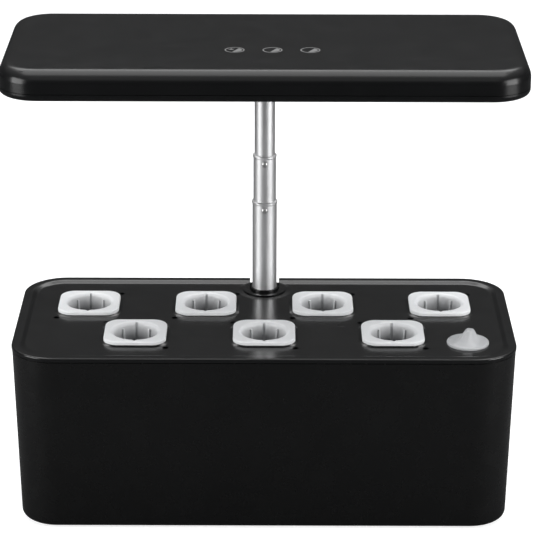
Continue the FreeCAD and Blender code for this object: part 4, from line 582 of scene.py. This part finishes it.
class GARDEN_OT_baskets(bpy.types.Operator):
    """Build one grow basket with its wide round mouth, notches, grooves, ribs and root slots, and copy it"""
    bl_idname = "garden.baskets"
    bl_label = "Build the grow baskets"

    def execute(self, context):
        look = context.scene.garden_basket
        boxes = [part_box("grow_basket_%d" % number) for number in range(1, 8)]
        low, high = boxes[5]
        side, deep = high[0] - low[0], high[2] - low[2] - FLANGE
        bore = CUP_RADIUS - CUP_WALL
        basket = self.flange(side, look.edge)
        cup = turned("cup", [(CUP_RADIUS - deep * CUP_SLOPE, -deep), (CUP_RADIUS, 0.0),
                             (CUP_RADIUS, 0.4 * FLANGE)], 96)
        outward(cup)
        carve(basket, cup, "UNION")
        hollow = turned("hollow", self.bore_profile(bore, deep, look.mouth), 96)
        outward(hollow)
        carve(basket, hollow)
        carve(basket, join("slots", [self.root_slot(deep, turn) for turn in range(0, 360, 45)]))
        drain = begin("drain", bpy.ops.mesh.primitive_cylinder_add, vertices=64, radius=DRAIN_RADIUS,
                      depth=3 * CUP_FLOOR, location=(0, 0, -deep))
        put_down(drain, (0, 0, 0))
        carve(basket, drain)
        half = NOTCH_HALF * look.notch
        notch = begin("notch", bpy.ops.mesh.primitive_cylinder_add, vertices=4, radius=half,
                      depth=2 * FLANGE, location=(0, 0, 0.75 * FLANGE))
        bpy.ops.mesh.select_all(action="SELECT")
        bpy.ops.transform.resize(value=(NOTCH_NARROW, 1, 1), center_override=(0, 0, 0))
        put_down(notch, (0, -(bore + look.notch - half), 0))
        carve(basket, notch)
        reach = bore - (FLANGE - GROOVE_MIDDLE) * CUP_SLOPE
        for turn in (0, math.pi):
            carve(basket, on_wall(look.groove, GROOVE_DEEP, GROOVE_LONG, reach, GROOVE_MIDDLE, turn))
        reach = bore - RIB_LEVEL * CUP_SLOPE - RIB_SINK
        for turn in map(math.radians, RIB_TURNS):
            carve(basket, on_wall(look.rib, RIB_DEEP, RIB_LONG, reach, RIB_MIDDLE, turn), "UNION")
        outward(basket)
        # Store the depth down the bore as the mask of the painted shade
        self.mark_painted_shade(basket, bore)
        places = [((low[0] + high[0]) / 2, (low[1] + high[1]) / 2, high[2] - FLANGE) for low, high in boxes]
        for number, twin in enumerate(copies(basket, places), 1):
            twin.name = twin.data.name = "basket_%d_moulding" % number
            hand_over(twin, "basket_%d" % number, "basket_white", "grow_basket_%d" % number)
            modify(twin, "WEIGHTED_NORMAL", keep_sharp=True)
        return {"FINISHED"}

    def flange(self, side, edge_round):
        """The square flange with its round corners and softened top edge."""
        plate = begin("basket", bpy.ops.mesh.primitive_cube_add, size=1.0, scale=(side, side, FLANGE),
                      location=(0, 0, FLANGE / 2))
        pick(plate, "EDGE", lambda edge: runs(edge, 2, 0.5 * FLANGE))
        bpy.ops.mesh.bevel(offset=FLANGE_CORNER, segments=14)
        pick(plate, "EDGE", lambda edge: is_flat(edge, FLANGE))
        bpy.ops.mesh.bevel(offset=edge_round, segments=5)
        outward(plate)
        return plate

    def bore_profile(self, bore, deep, mouth):
        """Radius and height of the cup's hollow, from its floor up through the rounded mouth."""
        heights = (CUP_FLOOR - deep, *WALL_RINGS, FLANGE - mouth)
        wall = [(bore - (FLANGE - height) * CUP_SLOPE, height) for height in heights]
        curl = [(bore - mouth * CUP_SLOPE + mouth * (1 - math.cos(turn)),
                 FLANGE - mouth * (1 - math.sin(turn))) for turn in map(math.radians, range(12, 85, 12))]
        return wall + curl + [(curl[-1][0], 2 * FLANGE)]

    def root_slot(self, deep, turn):
        """One upright slot low in the cup's wall, with round ends."""
        slot = begin("slot", bpy.ops.mesh.primitive_cube_add, size=1.0, scale=SLOT,
                     location=(0, SLOT_OUT, SLOT_UP - deep))
        pick(slot, "EDGE", lambda edge: runs(edge, 1, 0.5 * SLOT[1]))
        bpy.ops.mesh.bevel(offset=SLOT_ROUND, segments=4)
        put_down(slot, (0, 0, 0), math.radians(turn))
        return slot

    def mark_painted_shade(self, basket, bore):
        """Store how deep each point of the bore lies, as the mask of the painted shade in the bore."""
        depth = basket.data.attributes.new("inside", "FLOAT", "POINT")
        for vertex, mark in zip(basket.data.vertices, depth.data):
            down = FLANGE - vertex.co.z
            past = math.hypot(vertex.co.x, vertex.co.y) - bore + max(0.0, down) * CUP_SLOPE
            if past < BORE_REACH and down > 0:
                share = 0.5 if past < -BORE_GIVE else 1.0 if past < BORE_GIVE else 2.0
                mark.value = min(1.0, share * down / FULL_PAINTED_SHADE)


class GARDEN_OT_buttons(bpy.types.Operator):
    """Build the round detent buttons that stand in the tubes' walls"""
    bl_idname = "garden.buttons"
    bl_label = "Build the detent buttons"

    def execute(self, context):
        radius = context.scene.garden_lamp.button_radius
        for body, node in (("base", "lower_detent_pad"), ("middle_pole", "upper_detent_pad")):
            low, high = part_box(node)
            deep = high[1] - low[1]
            crown = [(across * radius, up * deep) for across, up in BUTTON_CROWN]
            button = turned(node.replace("pad", "button"), [(radius, 0.0)] + crown, 40, capped=False)
            bpy.ops.mesh.select_all(action="SELECT")
            bpy.ops.transform.resize(value=(1, 1, -1), center_override=(0, 0, 0))
            outward(button)
            put_down(button, (0, high[1], (low[2] + high[2]) / 2), tilt=math.radians(-90))
            hand_over(button, body, "pad_steel", node)
        return {"FINISHED"}


class GARDEN_OT_icons(bpy.types.Operator):
    """Print the three round touch icons on the lamp's top"""
    bl_idname = "garden.icons"
    bl_label = "Print the touch icons"

    def execute(self, context):
        look = context.scene.garden_lamp
        pieces = []
        for across in ICON_PLACES:
            ring = begin("ring", bpy.ops.mesh.primitive_circle_add, vertices=72, radius=look.icon_ring,
                         fill_type="NGON")
            bpy.ops.mesh.select_all(action="SELECT")
            bpy.ops.mesh.inset(thickness=look.icon_line)
            bpy.ops.mesh.delete(type="FACE")
            half = begin("half", bpy.ops.mesh.primitive_circle_add, vertices=72,
                         radius=look.icon_ring - 2 * look.icon_line, fill_type="NGON")
            bpy.ops.mesh.select_all(action="SELECT")
            bpy.ops.mesh.bisect(plane_co=HALF_THROUGH, plane_no=HALF_FACING, clear_inner=True)
            for piece in (ring, half):
                put_down(piece, (across, ICON_ROW, 0))
                pieces.append(piece)
            if across == ICON_PLACES[0]:
                pieces += sprout((across + SPROUT_ACROSS, ICON_ROW + SPROUT_ALONG))
        icons = join("touch_icons", pieces)
        bpy.ops.object.mode_set(mode="EDIT")
        bpy.ops.mesh.select_all(action="SELECT")
        bpy.ops.transform.translate(value=(0, 0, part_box("lamp_top_cover")[1][2] - PRINT_SINK))
        bpy.ops.mesh.extrude_region_move(TRANSFORM_OT_translate={"value": (0, 0, PRINT_THICK)})
        outward(icons)
        hand_over(icons, "lamp", "icon_grey")
        return {"FINISHED"}


def sprout(place):
    """Three small leaves that spread from one point."""
    leaves = []
    for turn, length in LEAVES:
        leaf = begin("leaf", bpy.ops.mesh.primitive_circle_add, vertices=20, radius=length, fill_type="NGON")
        bpy.ops.mesh.select_all(action="SELECT")
        bpy.ops.transform.resize(value=(LEAF_WIDTH, 1, 1), center_override=(0, 0, 0))
        bpy.ops.transform.translate(value=(0, 1.2 * length, 0))
        put_down(leaf, (*place, 0), math.radians(turn))
        leaves.append(leaf)
    return leaves


class GARDEN_OT_diodes(bpy.types.Operator):
    """Build the light-emitting diodes: a square white frame with a round lens in its well"""
    bl_idname = "garden.diodes"
    bl_label = "Build the diodes"

    def execute(self, context):
        look = context.scene.garden_lamp
        side, high = look.diode_side, look.diode_height
        places = {"white": [], "red": [], "blue": []}
        for row in range(LED_ROWS):
            for column in range(LED_COLUMNS):
                kind = (column + 2 * row) % 4
                shade = "red" if kind == 1 else "blue" if kind == 3 and row % 2 else "white"
                places[shade].append(((column - (LED_COLUMNS - 1) / 2) * LED_PITCH,
                                      LED_MIDDLE + (row - (LED_ROWS - 1) / 2) * LED_PITCH, LED_SEAT))
        block = begin("block", bpy.ops.mesh.primitive_cube_add, size=1.0, location=(0, 0, -high / 2),
                      scale=(side, side, high))
        pick(block, "EDGE", lambda edge: runs(edge, 2, 0.5 * high))
        bpy.ops.mesh.bevel(offset=FRAME_CORNER * side, segments=3)
        pick(block, "FACE", lambda face: is_flat(face, -high))
        for share in (FRAME_RIM, FRAME_WALL):
            bpy.ops.mesh.inset(thickness=share * side)
        bpy.ops.mesh.extrude_region_move(TRANSFORM_OT_translate={"value": (0, 0, WELL_DEEP * high)})
        bpy.ops.transform.resize(value=(WELL_TAPER, WELL_TAPER, 1),
                                 center_override=(0, 0, (WELL_DEEP - 1) * high))
        outward(block)
        frames = join("diode_frames", copies(block, sum(places.values(), [])))
        hand_over(frames, "lamp", "led_board_white")
        for shade, spots in places.items():
            profile = [(across * side, -down * high) for across, down in LENS]
            lens = turned("lens", profile, 20, capped=False)
            outward(lens)
            lenses = join("diode_lenses_" + shade, copies(lens, spots))
            hand_over(lenses, "lamp", "led_" + shade, "leds_" + shade)
        return {"FINISHED"}


class GARDEN_OT_screws(bpy.types.Operator):
    """Build the lamp's screws: pan heads with a cross recess, sunk in the lower cover"""
    bl_idname = "garden.screws"
    bl_label = "Build the lamp's screws"

    def execute(self, context):
        low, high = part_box("lamp_screws")
        head = [(share * SCREW_HEAD, height) for share, height in SCREW_CROWN]
        shank = [(SCREW_SHANK, head[-1][1]), (SCREW_SHANK, SCREW_LONG), (0.4 * SCREW_SHANK, SCREW_TIP)]
        screw = turned("screw", head + shank, 40)
        outward(screw)
        for turn in (0, math.radians(90)):
            cutter = begin("cutter", bpy.ops.mesh.primitive_cube_add, size=1.0, scale=SCREW_CROSS)
            put_down(cutter, (0, 0, 0), turn)
            carve(screw, cutter)
        reach = (high[0] - SCREW_HEAD, high[1] - SCREW_HEAD)
        places = [(share * reach[0], along, low[2]) for share in (-1, -SCREW_SHARE, SCREW_SHARE, 1)
                  for along in (-reach[1], reach[1])]
        screws = join("lamp_cover_screws", copies(screw, places))
        hand_over(screws, "lamp", "screw_steel", "lamp_screws")
        return {"FINISHED"}


class GARDEN_OT_stage(bpy.types.Operator):
    """Set the pale floor, the background, the softboxes and the camera"""
    bl_idname = "garden.stage"
    bl_label = "Set the stage"

    def execute(self, context):
        look = context.scene.garden_stage
        make_floor(look)
        make_world(look)
        for name, setting, place, towards, width, height in SOFTBOXES:
            softbox(name, place, towards, width, height, getattr(look, setting))
        lens = bpy.data.cameras.new("Camera")
        lens.lens, lens.sensor_width = LENS_LENGTH, SENSOR_WIDTH
        camera = bpy.data.objects.new("Camera", lens)
        context.scene.collection.objects.link(camera)
        camera.location = CAMERA_PLACE
        camera.rotation_euler = [math.radians(turn) for turn in CAMERA_TURN]
        context.scene.camera = camera
        context.scene.view_settings.view_transform = "Standard"
        return {"FINISHED"}


def softbox(name, place, towards, width, height, power):
    """Add a rectangular area light that faces a point."""
    lamp = bpy.data.lights.new(name, "AREA")
    lamp.shape, lamp.size, lamp.size_y, lamp.energy = "RECTANGLE", width, height, power
    holder = bpy.data.objects.new(name, lamp)
    bpy.context.scene.collection.objects.link(holder)
    holder.location = place
    holder.rotation_euler = (Vector(towards) - Vector(place)).to_track_quat("-Z", "Y").to_euler()


def make_floor(look):
    """The pale floor: white to the camera, dark in reflections, and it keeps the object's shadow."""
    clear_selection()
    bpy.ops.mesh.primitive_plane_add(size=14.0, location=(0, 0, 0))
    floor = bpy.context.object
    floor.name = "Floor"
    paper = bpy.data.materials.new("Floor")
    paper.use_nodes = True
    tree = paper.node_tree
    bsdf = tree.nodes["Principled BSDF"]
    rays = tree.nodes.new("ShaderNodeLightPath")
    tone = tree.nodes.new("ShaderNodeMix")
    tone.data_type = "RGBA"
    tree.links.new(rays.outputs["Is Glossy Ray"], tone.inputs[0])
    tone.inputs[6].default_value = (*[FLOOR_TONE * part for part in look.backdrop], 1)
    tone.inputs[7].default_value = (*[FLOOR_REFLECTED * part for part in look.backdrop], 1)
    tree.links.new(tone.outputs[2], bsdf.inputs["Base Color"])
    bsdf.inputs["Roughness"].default_value = 0.9
    bsdf.inputs["Specular IOR Level"].default_value = 0.0
    glow = tree.nodes.new("ShaderNodeEmission")
    glow.inputs["Color"].default_value = (*look.backdrop, 1)
    seen = tree.nodes.new("ShaderNodeMath")
    seen.operation, seen.use_clamp = "MULTIPLY", True
    seen.inputs[1].default_value = FLOOR_GLOW
    tree.links.new(rays.outputs["Is Camera Ray"], seen.inputs[0])
    blend = tree.nodes.new("ShaderNodeAddShader")
    whitening = tree.nodes.new("ShaderNodeMixShader")
    tree.links.new(seen.outputs[0], whitening.inputs[0])
    tree.links.new(bsdf.outputs[0], whitening.inputs[1])
    tree.links.new(glow.outputs[0], blend.inputs[0])
    tree.links.new(bsdf.outputs[0], blend.inputs[1])
    tree.links.new(blend.outputs[0], whitening.inputs[2])
    tree.links.new(whitening.outputs[0], tree.nodes["Material Output"].inputs["Surface"])
    floor.data.materials.append(paper)


def make_world(look):
    """White to the camera, dark to white upwards in reflections, and a soft light on the rest."""
    world = bpy.context.scene.world or bpy.data.worlds.new("World")
    bpy.context.scene.world = world
    world.use_nodes = True
    tree = world.node_tree
    tree.nodes.clear()
    rays = tree.nodes.new("ShaderNodeLightPath")
    soft, shown, glossy = (tree.nodes.new("ShaderNodeBackground") for _ in range(3))
    soft.inputs["Color"].default_value = SKY_TINT
    shown.inputs["Color"].default_value = (*look.backdrop, 1)
    up = tree.nodes.new("ShaderNodeTexCoord")
    split = tree.nodes.new("ShaderNodeSeparateXYZ")
    tree.links.new(up.outputs["Generated"], split.inputs[0])
    tree.links.new(spread(tree, split.outputs["Z"], **SKY_REFLECTED), glossy.inputs["Strength"])
    tree.links.new(spread(tree, split.outputs["Y"], **SKY_SOFT), soft.inputs["Strength"])
    glossy.inputs["Color"].default_value = (*look.backdrop, 1)
    clear = tree.nodes.new("ShaderNodeMath")
    clear.operation = "MAXIMUM"
    tree.links.new(rays.outputs["Is Camera Ray"], clear.inputs[0])
    tree.links.new(rays.outputs["Is Transmission Ray"], clear.inputs[1])
    first, second = tree.nodes.new("ShaderNodeMixShader"), tree.nodes.new("ShaderNodeMixShader")
    tree.links.new(rays.outputs["Is Glossy Ray"], first.inputs[0])
    tree.links.new(soft.outputs[0], first.inputs[1])
    tree.links.new(glossy.outputs[0], first.inputs[2])
    tree.links.new(clear.outputs[0], second.inputs[0])
    tree.links.new(first.outputs[0], second.inputs[1])
    tree.links.new(shown.outputs[0], second.inputs[2])
    output = tree.nodes.new("ShaderNodeOutputWorld")
    tree.links.new(second.outputs[0], output.inputs["Surface"])


class GARDEN_PT_sidebar(bpy.types.Panel):
    """The garden's pieces and their settings"""
    bl_idname = "GARDEN_PT_sidebar"
    bl_label = "Countertop garden"
    bl_space_type = "VIEW_3D"
    bl_region_type = "UI"
    bl_category = "Garden"

    def draw(self, context):
        for operator in OPERATORS:
            self.layout.operator(operator.bl_idname)
        for group in (context.scene.garden_lamp, context.scene.garden_knob, context.scene.garden_basket,
                      context.scene.garden_stage):
            for label in group.__annotations__:
                self.layout.prop(group, label)


OPERATORS = [GARDEN_OT_finishes, GARDEN_OT_baskets, GARDEN_OT_knob, GARDEN_OT_buttons, GARDEN_OT_icons,
             GARDEN_OT_diodes, GARDEN_OT_screws, GARDEN_OT_stage]
CLASSES = [GardenLamp, GardenKnob, GardenBasket, GardenStage, *OPERATORS, GARDEN_PT_sidebar]


def register():
    for kind in CLASSES:
        bpy.utils.register_class(kind)
    bpy.types.Scene.garden_lamp = PointerProperty(type=GardenLamp)
    bpy.types.Scene.garden_knob = PointerProperty(type=GardenKnob)
    bpy.types.Scene.garden_basket = PointerProperty(type=GardenBasket)
    bpy.types.Scene.garden_stage = PointerProperty(type=GardenStage)


def unregister():
    del bpy.types.Scene.garden_stage
    del bpy.types.Scene.garden_basket
    del bpy.types.Scene.garden_knob
    del bpy.types.Scene.garden_lamp
    for kind in reversed(CLASSES):
        bpy.utils.unregister_class(kind)


def main():
    register()
    for operator in OPERATORS:
        step = operator.bl_idname.split(".")[1]
        getattr(bpy.ops.garden, step)()


if __name__ == "__main__":
    main()
